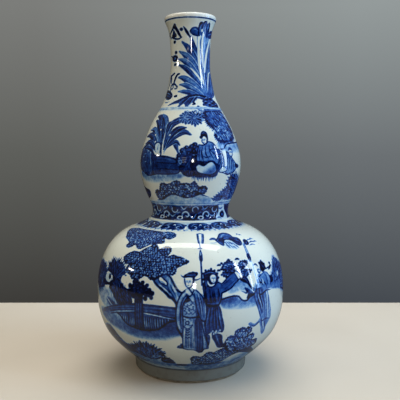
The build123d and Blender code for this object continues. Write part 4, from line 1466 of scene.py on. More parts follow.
def right_bushes(b):
    """Pointed bushes that rise to the right, and a rock at the far left."""
    upper = [(44, 227), (46, 233), (50, 236), (56, 236.6), (63, 235), (70, 232), (77, 226), (77, 216),
             (66, 213.6), (58, 216), (52, 219), (46, 223)]
    lower = [(28, 211), (33, 215.6), (37, 218.6), (41, 222), (46, 222.4), (50, 219), (56, 215), (62, 213),
             (70, 211), (58, 209), (49, 210), (44, 212), (38, 209), (33, 209)]
    b.area([(50, 222), (60, 215), (80, 213), (80, 209), (50, 209), (34, 209)], PALE, 0.8)
    leafy_mass(b, lower, (70, 204), DEEP, 2.4, 4.6, 3.0)
    leafy_mass(b, upper, (80, 212), DARK, 2.6, 5.0, 3.6)
    rock = [(-84, 224), (-74, 223), (-64, 221), (-56, 219), (-57, 215), (-62, 212), (-72, 210), (-84, 210)]
    b.area(rock, DARK)
    streaks(b, rock, 3.0, 10, 5, 0.8, [NAVY, DEEP])
    b.outline(rock, 0.9, NAVY)


def upper_front(b):
    """The garden on the front of the upper bulb."""
    b.area([(-70, 205), (-70, 208.6), (70, 208.6), (70, 205)], FAINT, 0.5)
    bench(b)
    plantain(b)
    overhang(b)
    centre_rock(b)
    companion(b)
    seated_man(b)
    low_shrubs(b)
    right_bushes(b)


def upper_lines(sheet):
    """Two lines over the scene and one under it."""
    for s, width, tone in ((306.6, 1.3, SOFT), (304.9, 0.5, PALE), (206.2, 1.3, SOFT)):
        sheet.hoop(s, width, tone)


# Motifs of the neck, in millimetres


def bud(b):
    """A pointed bud with two petals over a curling stalk."""
    b.line([(-44, 384.6), (-37, 386.2), (-30, 389.2), (-25, 392), (-21.8, 394)], 2.8, NAVY, "root")
    b.area([(-24.6, 391.8), (-21.6, 394.6), (-19, 391.4), (-15.6, 386.4), (-12.8, 381.4), (-15.4, 381.6),
            (-19, 384.6), (-22, 388.6), (-25, 391)], NAVY)
    b.area([(-32, 382.6), (-29, 386), (-25.8, 389.6), (-23.4, 387), (-21, 383), (-26, 381.6)], NAVY)
    b.line([(-33, 382.4), (-25, 380.6), (-18, 379.8), (-12.6, 381.4)], 1.4, NAVY, "brush")
    b.line([(-25.8, 390.8), (-22.4, 388), (-19.4, 384), (-17.4, 382.2)], 1.2, BARE, "leaf")
    b.line([(-27.4, 384), (-26, 386), (-24.8, 387.4)], 0.7, SOFT, "leaf")
    b.line([(-20.6, 392), (-18, 388), (-15.4, 383.6)], 0.6, DEEP, "leaf")
    b.line([(-40, 388), (-37, 384), (-34, 380.6)], 1.6, NAVY, "leaf")
    for x, s, r, tall in ((-12.6, 389, 1.9, 0.9), (-26, 377.4, 2.1, 0.8), (-24, 366.8, 1.9, 0.9),
                          (-26, 354.8, 2.0, 0.7), (-18, 321.4, 2.2, 0.62)):
        b.dot(x, s, r, NAVY, tall)
    b.dot(-27, 361, 5.0, NAVY, 0.68)
    b.dot(-27, 361, 1.9, SOFT, 0.6)
    b.line([(-38, 364), (-34, 363), (-28, 361)], 1.2, NAVY, "brush")


def tendrils(b):
    """Curling tendrils with a leaf at their foot."""
    b.lines([[(-16.6, 344.8), (-20, 344), (-22.6, 341), (-24, 337.4), (-24.6, 335)],
             [(-25.4, 345.8), (-29, 344.8), (-33.4, 343), (-31.4, 339.6), (-30.6, 336)]], 2.3, NAVY, "brush")
    b.line([(-36, 344), (-35, 336), (-38, 329)], 1.8, NAVY, "brush")
    b.line([(-31, 331), (-27.6, 334.4), (-22, 334), (-18.8, 331.6)], 1.7, NAVY, "brush")
    for x, s, r in ((-27.4, 331.4, 2.0), (-20, 331, 1.7), (-31, 328.4, 1.8)):
        b.ring(x, s, r, 1.3, NAVY, 2.4)
    leaf = [(-42, 328), (-35, 328.6), (-29, 327), (-24.4, 324.4), (-22.8, 321.4), (-25, 318.6), (-30, 317.8),
            (-37, 320), (-42, 322)]
    b.area(leaf, NAVY)
    b.line([(-39, 325.6), (-32, 325), (-26, 322.4)], 0.9, PALE, "leaf")
    b.line([(-38, 322.6), (-31, 322.2), (-27, 320.6)], 0.7, SOFT, "leaf")
    b.line([(-34, 315.6), (-29, 314.6), (-25, 316)], 1.0, DARK, "leaf")


def lily(b):
    """A tall plant with a great flower and long blades, rooted at the right."""
    b.area([(15, 381), (14, 362), (17, 344), (22, 330), (28, 340), (33, 356), (36, 381), (24, 384)], 0.18,
           1.2)
    right = (
        ([(22, 318), (33, 324), (42, 330), (50, 336)], 5.0, SOFT),
        ([(22, 319), (32, 328), (40, 338), (47, 350)], 6.0, MID),
        ([(22, 320), (30, 332), (36, 345), (40, 362), (42, 372)], 7.0, MID),
        ([(22, 320), (26, 336), (31, 352), (34, 370), (35, 379)], 7.4, MID),
        ([(21, 322), (22, 338), (25, 354), (29, 370), (30, 377)], 5.0, SOFT),
        ([(21, 322), (21, 338), (22.4, 352), (24, 366)], 4.6, DEEP),
        ([(20, 322), (18, 340), (16.6, 354), (17.6, 368), (18, 377)], 4.2, DEEP),
    )
    left = (
        ([(21, 322), (18, 342), (13, 358), (8, 370)], 4.0, MID),
        ([(20, 322), (16, 344), (9, 361), (4, 372), (1, 382)], 5.6, DEEP),
        ([(20, 322), (14, 345), (5, 361), (-4, 371), (-12.6, 377)], 5.0, DEEP),
        ([(20, 322), (13, 342), (3, 355), (-7, 363), (-17.4, 367.6)], 5.4, MID),
        ([(20, 321), (12, 339), (1, 350.6), (-9, 357.4), (-19.6, 360)], 4.6, MID),
        ([(20, 320), (11, 335.6), (0, 345.6), (-10, 351.4), (-19.4, 354.2)], 4.0, DEEP),
        ([(21, 318), (12, 328), (0, 335.8), (-9, 340), (-17.6, 341.4)], 5.4, MID),
        ([(21, 317), (11, 324), (0, 330), (-7, 332.8), (-14.8, 333.6)], 4.4, MID),
        ([(21, 316), (10, 320.4), (0, 324.4), (-8, 326), (-15.6, 326.4)], 4.0, MID),
    )
    for path, width, tone in right:
        blade(b, path, width * 1.15, tone, PALE, 0.5, DARK)
    for path, width, tone in left:
        blade(b, path, width * 1.36, tone, SOFT, 1.2, DARK)
    b.line([(20, 333), (10, 342.6), (0, 351)], 2.2, BARE, "leaf")
    b.area([(16, 381), (15.4, 364), (17, 350), (21, 344), (23.4, 356), (28, 368), (33, 381)], MID, 0.8, 0.6)
    for path, width in (([(11.6, 382), (12.8, 366), (14.6, 350), (18, 336)], 2.6),
                        ([(19.8, 388), (18.4, 378), (18.6, 368), (21, 352)], 2.2),
                        ([(35.6, 382), (31, 372), (26.4, 361), (22.8, 347)], 2.8)):
        b.line(nudged(path, -1.1), 1.7, DEEP, "brush")
        b.line(path, width, BARE, "brush")
    b.line([(24.6, 382), (22.6, 372), (21.4, 362)], 1.5, PALE, "leaf")
    b.line([(23, 325), (27, 337), (32, 345.6), (40, 348)], 1.7, BARE, "leaf")
    b.line([(-9.4, 391.8), (-5, 386.4), (0.8, 379.4)], 2.7, NAVY, "leaf")
    leaf = [(-0.6, 387), (3, 390.2), (8.6, 390.6), (12.4, 388), (13.6, 383.6), (12, 382.6), (6, 383),
            (1.4, 384.6)]
    b.area(leaf, DEEP)
    b.line([(3.4, 388.4), (7, 388.8), (11.4, 386.4)], 1.1, SOFT, "leaf")
    b.outline(leaf, 0.9, NAVY)
    b.area([(28, 384), (33, 388.8), (40, 390), (47, 389), (47, 383.6), (39, 382), (31, 381.4)], DEEP)
    b.line([(31, 385), (38, 386.6), (45, 386)], 1.2, SOFT)
    petals = [(11.6, 384.6), (11.6, 390), (12.8, 395.2), (15.4, 396.4), (17.2, 394.4), (19, 397), (22, 397.4),
              (24.2, 395.2), (26.4, 397), (28.6, 395.6), (30, 390.4), (29.6, 386), (27.6, 381.4),
              (23.6, 382.6), (20.6, 385.4), (17.6, 382.6), (14.4, 383.6)]
    b.area(petals, MID)
    b.area([(22.8, 383.4), (24.6, 387.6), (27.4, 391), (30, 391), (29.6, 386), (27.6, 381.4)], DEEP)
    b.line([(12, 384), (11.9, 390), (13.2, 395), (15.6, 395.8)], 1.9, NAVY, "brush")
    b.line([(17.2, 395.2), (19.2, 397), (22, 397.2)], 1.2, NAVY, "brush")
    b.line([(26.2, 396.4), (28.6, 394.8), (29.8, 390), (29, 385)], 1.4, NAVY, "brush")
    b.lines(([(15.8, 384), (15.8, 390), (17.4, 394.6)], [(22.4, 384.6), (23.8, 390), (24.4, 395.4)]), 1.3,
            DARK, "leaf")
    b.lines(([(14, 386), (13.8, 391), (15.2, 395)], [(18.8, 390), (19.4, 394), (21, 397)],
             [(21.4, 387), (22, 391), (22.4, 394)], [(26, 388), (26.6, 392), (27, 396)]), 1.1, SOFT, "leaf")
    b.dot(14.4, 395.4, 1.4, NAVY)
    # A small white spot in the flower is a painted highlight
    b.dot(16.8, 388, 1.1, BARE, 1.5)
    b.line([(19.8, 387.4), (19, 383), (18.4, 379)], 2.2, BARE, "leaf")


def acanthus(b):
    """A curling leaf at the plant's root over a bank of dark leaves."""
    leaf = [(-25.4, 310.4), (-21, 314), (-15, 316.8), (-8, 320), (-2, 322.4), (5, 323.6), (12, 322.8),
            (18, 320.6), (23, 318), (20, 315.6), (14, 318), (8, 318.6), (4.6, 315.6), (4, 311), (2.4, 313),
            (1, 314.4), (-1.4, 311), (-4, 306.8), (-5.4, 310.4), (-6.6, 312.6), (-9, 310.4), (-13, 308),
            (-12, 310.6), (-12, 313), (-18, 312.2)]
    b.area(leaf, DEEP)
    b.line([(22, 319), (14, 321.4), (4, 322), (-6, 319.4), (-16, 315.4), (-25, 310.8)], 2.2, NAVY, "tail")
    for path in ([(5, 321), (1.4, 317), (-2.6, 309.4)], [(-1, 320), (-6, 315.6), (-10.4, 310)],
                 [(-8, 317.4), (-12, 315), (-15, 313)], [(10, 321), (6.6, 319.4), (4, 315)]):
        b.line(nudged(path, 1.4, 0.5), 1.5, SOFT, "leaf")
        b.line(path, 1.1, NAVY, "leaf")
    b.line([(17, 319), (8, 320.8), (-2, 319)], 0.8, PALE, "leaf")
    b.dots(((-1.8, 308.4), (-10.8, 309), (2.6, 311.6)), 0.8, NAVY)
    b.area([(4.6, 310), (5.2, 314.6), (8, 317.8), (12, 317.2), (13.6, 313.6), (12.6, 310), (9, 308.4),
            (6, 308.4)], BARE)
    b.dots(((4, 312.4), (13.6, 311.4), (14.2, 315.4), (7.6, 309)), 1.3, NAVY)
    cluster = [(14, 311), (14, 316), (18, 320), (23, 321), (29, 318.6), (35, 314), (35, 310), (28, 308.4),
               (20, 308.6)]
    b.area(cluster, DEEP)
    for x, s, turn in ((17, 314, 0.9), (19, 318, 0.7), (24, 318.6, 0.2), (21, 312, 0.8), (26, 314, 0.4),
                       (30, 316, -0.3), (31, 311.4, -0.1), (25, 310, 0.3)):
        b.dot(x, s, 2.4, NAVY, 0.5, turn)
        b.line([(x - 2, s + 1), (x, s + 1.7), (x + 2, s + 1)], 0.9, PALE, "leaf")


def neck_front(b):
    """The flowering plants on the front of the neck."""
    bud(b)
    tendrils(b)
    lily(b)
    acanthus(b)


def neck_lines(sheet):
    """A dark line under the lip and a pale one at the foot of the neck."""
    for s, width, tone in ((400.6, 1.1, NAVY), (308.2, 1.6, PALE)):
        sheet.hoop(s, width, tone, NECK_HOOP_POINTS)


# Bands round the shoulder and the waist, in millimetres


def ruyi(b, x, wide):
    """One lappet of the shoulder band: a dark head of cloud with white scrolls in it."""
    b.area([(x - wide * 0.44, 183.4), (x - wide * 0.5, 177), (x - wide * 0.38, 173.4), (x, 172),
            (x + wide * 0.36, 173.2), (x + wide * 0.48, 177.4), (x + wide * 0.4, 182.4), (x, 184.8)], DARK)
    for dx, s, tone in ((-0.3, 181.4, DEEP), (0.26, 180.6, DEEP), (0.04, 174.6, NAVY)):
        b.line([(x + (dx - 0.12) * wide, s), (x + dx * wide, s + 1.2), (x + (dx + 0.12) * wide, s)], 1.8,
               tone, "leaf")
    for side in (-1, 1):
        b.ring(x + side * wide * 0.24, 177.2, wide * 0.09, 0.9, FAINT, math.pi * (0.5 - 0.5 * side))
        b.line([(x + side * wide * 0.04, 183), (x + side * wide * 0.26, 182), (x + side * wide * 0.4, 178)],
               0.8, PALE, "leaf")
        b.line([(x + side * wide * 0.1, 174), (x + side * wide * 0.24, 173.4), (x + side * wide * 0.38, 175)],
               0.7, PALE, "leaf")
    b.line([(x - 0.8, 180), (x + 0.8, 182), (x + 2, 180)], 1.3, BARE, "leaf")


def shoulder_band(sheet, count=12):
    """Lappets side by side round the shoulder, over a fringe of small white arches."""
    b = Brush(sheet)
    sheet.hoop(178, 14.5, PALE)
    sheet.hoop(184.4, 3.0, FAINT)
    wide = sheet.around / count
    for k in range(count):
        x = (k + 0.32 + b.random.uniform(-0.08, 0.08)) * wide
        ruyi(b, x, wide * b.random.uniform(0.9, 1.06))
        edge = x + wide / 2
        b.line([(edge - 1.6, 171), (edge, 176), (edge - 0.6, 184)], 1.5, BARE, "leaf")
        b.dot(edge - 0.6, 180.6, 1.3, DARK)
        for step in range(5):
            at = x + (step - 2) * wide / 5
            b.dot(at, 171.4, 1.5, BARE, 0.8)
            b.line([(at + 1.0, 172.8), (at + 1.8, 170.4)], 0.9, [DEEP, MID][step % 2])
    sheet.hoop(169.4, 1.2, FAINT)
    sheet.hoop(186.8, 1.8, BARE)
    sheet.hoop(188.6, 0.9, NAVY)


def scroll_band(sheet, count=12):
    """Scrolls, leaves and small flowers reserved in white on a dense dark ground."""
    b = Brush(sheet)
    sheet.hoop(196.4, 15.2, DARK)
    for k in range(170):
        x, s = b.random.uniform(0, sheet.around), b.random.uniform(190, 203)
        turn = b.random.uniform(0, 3.1)
        b.line([(x - 1.7 * math.cos(turn), s - 1.7 * math.sin(turn)),
                (x + 1.7 * math.cos(turn), s + 1.7 * math.sin(turn))], 1.3,
               b.random.choice([NAVY, NAVY, NAVY, MID]), "leaf")
    wide = sheet.around / count
    for k in range(count):
        x = (k - 0.2) * wide
        if k % 6 == 2:
            b.area([(x - 12, 187.4), (x - 7, 197), (x - 9, 204), (x, 204), (x + 5, 198), (x + 12, 191),
                    (x + 6, 187.6)], FAINT)
            b.dot(x, 193.4, 4.2, NAVY, 0.84)
            b.dot(x + 0.2, 193, 1.7, MID, 0.8)
            b.line([(x - 10, 190), (x - 6, 190.6), (x - 3, 188.6)], 1.2, DARK, "leaf")
            b.line([(x - 9, 201), (x - 4, 199.4), (x + 1, 201)], 1.6, MID, "leaf")
            continue
        up = 1 if k % 3 else -1
        b.line([(x - 5, 191), (x - 4.4, 195.6), (x - 0.4, 197.4), (x + 3, 195), (x + 1.6, 192.4),
                (x - 0.6, 193.6)], 1.2, FAINT, "brush")
        b.line([(x + 3, 195), (x + 8, 191.6 + up), (x + 12, 195)], 0.9, PALE, "brush")
        b.ring(x + 11, 199.6, 3.0, 1.1, FAINT, 1.2 * up)
        for dx, s in ((9.4, 199.4), (11.6, 201.4), (12.6, 198.6)):
            b.dot(x + dx, s, 1.0, NAVY)
        b.line([(x - 6, 203), (x - 3, 200), (x + 1, 202.4)], 1.1, PALE, "brush")
        b.dot(x + 17.6, 191.4, 3.2, BARE, 0.62)
        b.dot(x + 17.6, 191.2, 1.7, NAVY, 0.62)
        for dx, s in ((4.4, 201.6), (7, 203), (15, 196), (19.4, 199.6), (-8, 197), (14.4, 190.4), (21, 195)):
            b.line([(x + dx - 1.3, s), (x + dx + 1.3, s + b.random.uniform(-1.2, 1.2))], 0.9,
                   b.random.choice([SOFT, PALE, FAINT]), "leaf")
    sheet.hoop(204.4, 1.4, SOFT)


# The side that the photograph doesn't show


def shore(b, x, s, long):
    """A strip of water with a dark bank, a few reeds and a stone, under a tree that stands alone."""
    b.area([(x - long, s + 2), (x - long * 0.4, s + 5), (x + long * 0.3, s + 4), (x + long, s + 1),
            (x + long * 0.5, s - 7), (x - long * 0.3, s - 9)], fade(s - 9, 0.1, s + 5, 0.5), 1.6)
    b.line([(x - long, s + 2), (x - long * 0.4, s + 5.4), (x + long * 0.3, s + 4.2), (x + long, s + 1)], 1.6,
           NAVY, "leaf")
    b.line([(x - long * 0.6, s - 2), (x, s - 0.6), (x + long * 0.5, s - 2.4)], 0.9, DEEP, "leaf")
    stone = [(x + long * 0.3, s + 3), (x + long * 0.36, s + 8), (x + long * 0.5, s + 9.4),
             (x + long * 0.66, s + 7), (x + long * 0.74, s + 2.6), (x + long * 0.5, s + 1)]
    b.area(stone, DARK)
    streaks(b, stone, 2.6, 70, 5, 0.8, [MID, SOFT, NAVY])
    b.outline(stone, 0.9, NAVY)
    for k in range(9):
        at = x - long * 0.5 + k * 2.1
        b.line([(at, s + 4), (at + b.random.uniform(-2, 2), s + b.random.uniform(8, 15))], 1.3,
               b.random.choice([NAVY, DARK, DEEP]), "tail")


def lower_behind(b):
    """The other half of the garden: a second pine and terrace, two men under a cloud, and a walking man."""
    far_right(b.moved(575, flip=-1))
    cloud(b.moved(262, flip=-1))
    right_trees(b.moved(160))
    shore(b, 176, 66, 30)
    shore(b, 372, 62, 34)
    shore(b, 430, 70, 26)
    lobed_tree(b.moved(222))
    fence(b.moved(262, flip=-1))
    pine(b.moved(268, flip=-1))
    banner_pole(b.moved(220))
    attendant(b.moved(178))
    official(b.moved(252, flip=-1))
    walker(b.moved(495, flip=-1))
    ground_left(b.moved(92, flip=-1))
    ground_right(b.moved(190))
    ground_left(b.moved(335, flip=-1))
    ground_left(b.moved(520, -2))


def upper_behind(b):
    """The upper garden once more, half a turn further, with its bushes set a little apart."""
    half = b.sheet.around / 2
    bench(b.moved(half))
    plantain(b.moved(half + 3))
    overhang(b.moved(half - 2))
    centre_rock(b.moved(half + 2))
    companion(b.moved(half + 3))
    seated_man(b.moved(half + 2))
    low_shrubs(b.moved(half - 12))
    right_bushes(b.moved(half - 3))


def neck_behind(b):
    """The neck's plants once more, half a turn further."""
    neck_front(b.moved(b.sheet.around / 2))


# The painting, on four strips from the foot of the lower bulb to the lip

BELLY_STRIP = (99.0, 0.0, 169.6, 7)
SHOULDER_STRIP = (48.0, 168.0, 206.0, 17)
BULB_STRIP = (53.3, 205.0, 308.0, 11)
STEM_STRIP = (30.0, 307.0, 404.0, 13)

belly = Sheet(*BELLY_STRIP)
base_lines(belly)
lower_behind(Brush(belly))
front(Brush(belly))
shoulder = Sheet(*SHOULDER_STRIP)
shoulder_band(shoulder)
scroll_band(shoulder)
bulb = Sheet(*BULB_STRIP)
upper_behind(Brush(bulb))
upper_front(Brush(bulb))
upper_lines(bulb)
stem = Sheet(*STEM_STRIP)
neck_behind(Brush(stem))
neck_front(Brush(stem))
neck_lines(stem)
sheets = [belly, shoulder, bulb, stem]


# Marks that the materials read at each point of a piece

# Where the lip turns paler and warmer, for its thinner glaze and for painted light on its top, and over what
# length
LIP_PALER_FROM = 401.2
LIP_PALER_OVER = 1.6
FOOT_GLAZE_ENDS = 3.4
FOOT_GLAZE_FADES = 1.2
FOOT_LINE = 1.6
FOOT_LINE_FADES = 0.6
SAMPLE_ACROSS = 0.2
SAMPLE_UP = 0.15


def sampled(sheet, heights, angle):
    """The tone of a sheet at heights and angles, averaged over a small square round each point."""
    total = np.zeros((len(heights), len(angle)))
    for across in (-SAMPLE_ACROSS, SAMPLE_ACROSS):
        for up in (-SAMPLE_UP, SAMPLE_UP):
            x = angle * sheet.radius + across * sheet.radius / np.maximum(radius_at(heights), 5)[:, None]
            x = x / sheet.step - 0.5
            y = np.clip((heights + up - sheet.low) / CELL - 0.5, 0, sheet.rows - 1.001)[:, None]
            column, row = np.floor(x).astype(int), np.floor(y).astype(int)
            fx, fy = x - column, y - row
            left, right = column % sheet.columns, (column + 1) % sheet.columns
            below = sheet.tone[row, left] * (1 - fx) + sheet.tone[row, right] * fx
            above = sheet.tone[row + 1, left] * (1 - fx) + sheet.tone[row + 1, right] * fx
            total += (below * (1 - fy) + above * fy) / 4
    return total


def cobalt_marks(heights, points, angle):
    """How much cobalt lies at each point, and how far the lip is paler: its glaze thins, and its top carries
    painted light.
    """
    tone = np.zeros((len(heights), len(angle)))
    for sheet in sheets:
        rows = np.flatnonzero((heights >= max(sheet.low, 0)) & (heights < sheet.low + sheet.rows * CELL))
        if len(rows):
            tone[rows] = sampled(sheet, heights[rows], angle)
    return {"cobalt": tone, "lip_paler": np.clip((heights - LIP_PALER_FROM) / LIP_PALER_OVER, 0, 1)[:, None]}


def foot_marks(heights, points, angle):
    """How far the glaze is wiped off the foot's standing edge, and where the painted line at its top lies."""
    height = points[:, 1]
    return {"wiped": np.clip((FOOT_GLAZE_ENDS - height) / FOOT_GLAZE_FADES + 0.5, 0, 1)[:, None],
            "lined": np.clip((height - height.max() + FOOT_LINE) / FOOT_LINE_FADES, 0, 1)[:, None]}


# Materials

GLAZE_WHITE = (219, 224, 215)
GLAZE_GREY = (206, 211, 203)
GLAZE_SPECK = (150, 146, 136)
# The lip's colour: partly its thinner glaze, partly painted light on its top
LIP_PALE_AND_LIT = (240, 236, 228)
COBALT_STEPS = [(0.0, GLAZE_WHITE), (0.12, (180, 202, 214)), (0.24, (130, 168, 204)), (0.40, (72, 119, 180)),
                (0.56, (32, 76, 148)), (0.74, (12, 42, 106)), (0.88, (5, 20, 68)), (1.0, (2, 7, 32))]
# The foot's glazed tones are painted dark grey as the shade under the bulb, then comes the rusty line where
# the glaze stops, then bare clay
FOOT_SHADE_AND_RUST_STEPS = [(0.0, (112, 113, 107)), (0.36, (100, 98, 90)), (0.5, (74, 64, 52)), (0.62, (112, 100, 84)),
              (1.0, (186, 172, 150))]
FOOT_GRIT = (116, 96, 76)
FOOT_BLUE = (20, 30, 52)
SLIP_PALE = (206, 203, 192)
SLIP_DARK = (176, 170, 156)
GLAZE_IOR = 1.5
NOISE_LOW = 0.3
NOISE_HIGH = 0.7


def colour(red, green, blue):
    """A colour given as it looks on a screen, 0 to 255, as the shader's own values."""
    def linear(value):
        value /= 255
        return value / 12.92 if value <= 0.04045 else ((value + 0.055) / 1.055) ** 2.4
    return (linear(red), linear(green), linear(blue), 1.0)


class Nodes:
    """The node tree of a material or a world, with short ways to add nodes to it."""

    def __init__(self, owner, place="Object"):
        self.owner = owner
        owner.use_nodes = True
        self.tree = owner.node_tree
        self.tree.nodes.clear()
        self.place = self.add("ShaderNodeTexCoord").outputs[place]

    def add(self, kind, inputs=None, **settings):
        """Adds a node with its settings, and with a value or a link in each named input."""
        node = self.tree.nodes.new(kind)
        for key, value in settings.items():
            setattr(node, key, value)
        for key, value in (inputs or {}).items():
            if isinstance(value, bpy.types.NodeSocket):
                self.tree.links.new(value, node.inputs[key])
            else:
                node.inputs[key].default_value = value
        return node

    def noise(self, scale, detail):
        return self.add("ShaderNodeTexNoise", {"Vector": self.place, "Scale": scale,
                                               "Detail": detail}).outputs["Fac"]

    def attribute(self, name):
        return self.add("ShaderNodeAttribute", attribute_name=name).outputs["Fac"]

    def math(self, kind, a, b, clamp=False):
        return self.add("ShaderNodeMath", {0: a, 1: b}, operation=kind, use_clamp=clamp).outputs[0]

    def range(self, value, low, high, to_low=0.0, to_high=1.0):
        """A value brought from one range into another, and held inside it."""
        return self.add("ShaderNodeMapRange", {"Value": value, "From Min": low, "From Max": high,
                                               "To Min": to_low, "To Max": to_high}).outputs["Result"]

    def varied(self, scale, detail, low, high):
        """Noise that fills a range of values."""
        return self.range(self.noise(scale, detail), NOISE_LOW, NOISE_HIGH, low, high)

    def mix(self, share, first, second):
        return self.add("ShaderNodeMix", {"Factor": share, 6: first, 7: second}, data_type="RGBA").outputs[2]

    def ramp(self, value, steps):
        """A colour for a value, from steps of place and colour."""
        node = self.add("ShaderNodeValToRGB", {"Fac": value})
        elements = node.color_ramp.elements
        while len(elements) < len(steps):
            elements.new(0.5)
        for element, (place, shade) in zip(elements, steps):
            element.position = place
            element.color = colour(*shade)
        return node.outputs["Color"]

    def bump(self, height, distance, more=None):
        """A surface raised by a height, in metres where the height is 1."""
        return self.add("ShaderNodeBump", {"Height": height, "Strength": 1.0, "Distance": distance,
                                           **(more or {})}).outputs[0]

    def finish(self, shade, roughness, normal, more=None):
        """Gives the material its surface."""
        shader = self.add("ShaderNodeBsdfPrincipled", {"Base Color": shade, "Roughness": roughness,
                                                       "Normal": normal, **(more or {})}).outputs[0]
        self.add("ShaderNodeOutputMaterial", {"Surface": shader})
        return self.owner


def glaze_bump(n):
    """The glaze's fine orange peel over the faint rings that throwing leaves."""
    peel = n.noise(420, 2.0)
    rings = n.bump(n.noise(34, 1.0), 0.00022)
    return n.bump(peel, 0.000012, {"Normal": rings})


def painted_porcelain():
    """Porcelain under a clear glaze, coloured by how much cobalt lies at each point."""
    n = Nodes(bpy.data.materials.new("painted_porcelain"))
    cobalt = n.attribute("cobalt")
    pools = n.varied(260, 3.0, -0.13, 0.13)
    grain = n.varied(1300, 2.0, -0.07, 0.07)
    drift = n.range(n.noise(45, 1.0), 0.35, 0.65, -0.06, 0.06)
    change = n.math("ADD", n.math("ADD", pools, grain), drift)
    held = n.range(cobalt, 0.03, 0.3)
    tone = n.math("ADD", cobalt, n.math("MULTIPLY", change, held), True)
    paint = n.ramp(tone, COBALT_STEPS)
    cloudy = n.range(n.noise(16, 2.0), 0.35, 0.7)
    clay = n.mix(cloudy, colour(*GLAZE_WHITE), colour(*GLAZE_GREY))
    specks = n.range(n.noise(520, 0.0), 0.78, 0.82, 0.0, 0.35)
    clay = n.mix(specks, clay, colour(*GLAZE_SPECK))
    # The lip is paler for its thinner glaze, and painted lighter and warmer where light from above falls on
    # its top
    clay = n.mix(n.math("MULTIPLY", n.attribute("lip_paler"), 0.6), clay, colour(*LIP_PALE_AND_LIT))
    base = n.mix(n.range(cobalt, 0.0, 0.12), clay, paint)
    roughness = n.varied(90, 3.0, 0.05, 0.09)
    return n.finish(base, roughness, glaze_bump(n), {"IOR": GLAZE_IOR, "Coat Weight": 0.35,
                                                     "Coat Roughness": 0.03, "Coat IOR": GLAZE_IOR})


def foot_porcelain():
    """Glazed porcelain painted dark grey as the shade under the bulb, whose glaze is wiped off the standing
    edge, with a rusty line where it stops.
    """
    n = Nodes(bpy.data.materials.new("foot_porcelain"))
    ragged = n.math("ADD", n.attribute("wiped"), n.varied(160, 3.0, -0.3, 0.3), True)
    bare = n.range(ragged, 0.46, 0.54)
    # Painted shade: the foot's glaze is dark grey for the shadow under the bulb
    shaded_glaze_and_rust = n.ramp(ragged, FOOT_SHADE_AND_RUST_STEPS)
    grit = n.varied(900, 3.0, 0.0, 1.0)
    clay = n.mix(n.math("MULTIPLY", bare, n.math("MULTIPLY", grit, 0.4)), shaded_glaze_and_rust, colour(*FOOT_GRIT))
    clay = n.mix(n.math("MULTIPLY", n.attribute("lined"), 0.6), clay, colour(*FOOT_BLUE))
    roughness = n.range(bare, 0, 1, 0.09, 0.75)
    peel = n.bump(n.math("MULTIPLY", bare, n.noise(900, 4.0)), 0.00012, {"Normal": glaze_bump(n)})
    return n.finish(clay, roughness, peel, {"IOR": GLAZE_IOR})


def luting_slip():
    """Dried slip, lumpy and unglazed."""
    n = Nodes(bpy.data.materials.new("luting_slip"))
    lumps = n.noise(380, 4.0)
    shade = n.mix(lumps, colour(*SLIP_PALE), colour(*SLIP_DARK))
    roughness = n.range(lumps, 0.2, 0.8, 0.25, 0.6)
    return n.finish(shade, roughness, n.bump(lumps, 0.0004))


# Pieces

FOOT_COLUMNS = 720
FOOT_STEP = 0.8
ON_TOP = 0.01


def foot_ring_profile():
    """The foot ring's profile: from the wall down its outside, round its edge and up to its inner top."""
    chain, closed = section("foot_ring")
    corners = np.array([run[0] for run in runs_of(chain, closed)])
    on_top = corners[:, 1] > corners[:, 1].max() - ON_TOP
    start = np.flatnonzero(on_top)[corners[on_top, 0].argmax()]
    corners = np.roll(corners, -start, axis=0)
    if np.roll(on_top, -start)[1]:
        corners = np.vstack([corners[:1], corners[:0:-1]])
    meets_wall = wall_line.points[0]
    inner_top = corners[-1]
    seam = [meets_wall[0] - GLAZE_IN_SEAM, inner_top[1]]
    profile = Profile()
    path = [meets_wall, *corners[1:]]
    for a, b in zip(path[:-1], path[1:]):
        parts = max(1, math.ceil(np.hypot(*(b - a)) / FOOT_STEP))
        profile.add([a + (b - a) * t for t in np.linspace(0, 1, parts + 1)], share=1.0)
    profile.add([inner_top, seam])
    profile.add([seam, meets_wall - [GLAZE_IN_SEAM, 0]])
    return profile


porcelain = painted_porcelain()
for (node, (columns, step)), span in zip(WALL_NODES.items(), spans):
    profile, closed = wall_profile(node, span, step)
    piece = turned(node + "_glazed", profile, closed, columns, cobalt_marks)
    piece.data.materials.append(porcelain)
    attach(piece, "root")
    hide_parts(node)

foot = turned("foot_ring_glazed", foot_ring_profile(), True, FOOT_COLUMNS, foot_marks)
foot.data.materials.append(foot_porcelain())
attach(foot, "root")
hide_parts("foot_ring")

slip = luting_slip()
for node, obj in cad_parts.items():
    if node.endswith("_slip"):
        obj.data.materials.clear()
        obj.data.materials.append(slip)


# Stage, in metres

CAMERA_HEIGHT = 0.235105
CAMERA_DISTANCE = 0.638054
CAMERA_DOWN = math.radians(5)
CAMERA_SENSOR = 36
CAMERA_LENS = 54
CAMERA_SHIFT = 0.024
TABLE_EDGE = 0.261
TABLE_SIZE = Vector((3.0, 1.5, 0.04))
TABLE_ROUND = 0.004
CLOTH_PALE = (200, 191, 178)
CLOTH_DARK = (186, 177, 164)
CLOTH_BOUNCE = (124, 119, 111)
WORLD_STRENGTH = 0.34
LAMPS_AIM = Vector((0, 0, 0.15))

# The room behind the vase, to the left and the right, from low to high, with painted shading: darker low down
# and to the left
WALL_LEFT = [(0.0, (62, 61, 58)), (0.5, (94, 95, 91)), (1.0, (124, 125, 122))]
WALL_RIGHT = [(0.0, (70, 75, 81)), (0.5, (108, 113, 116)), (1.0, (148, 155, 155))]

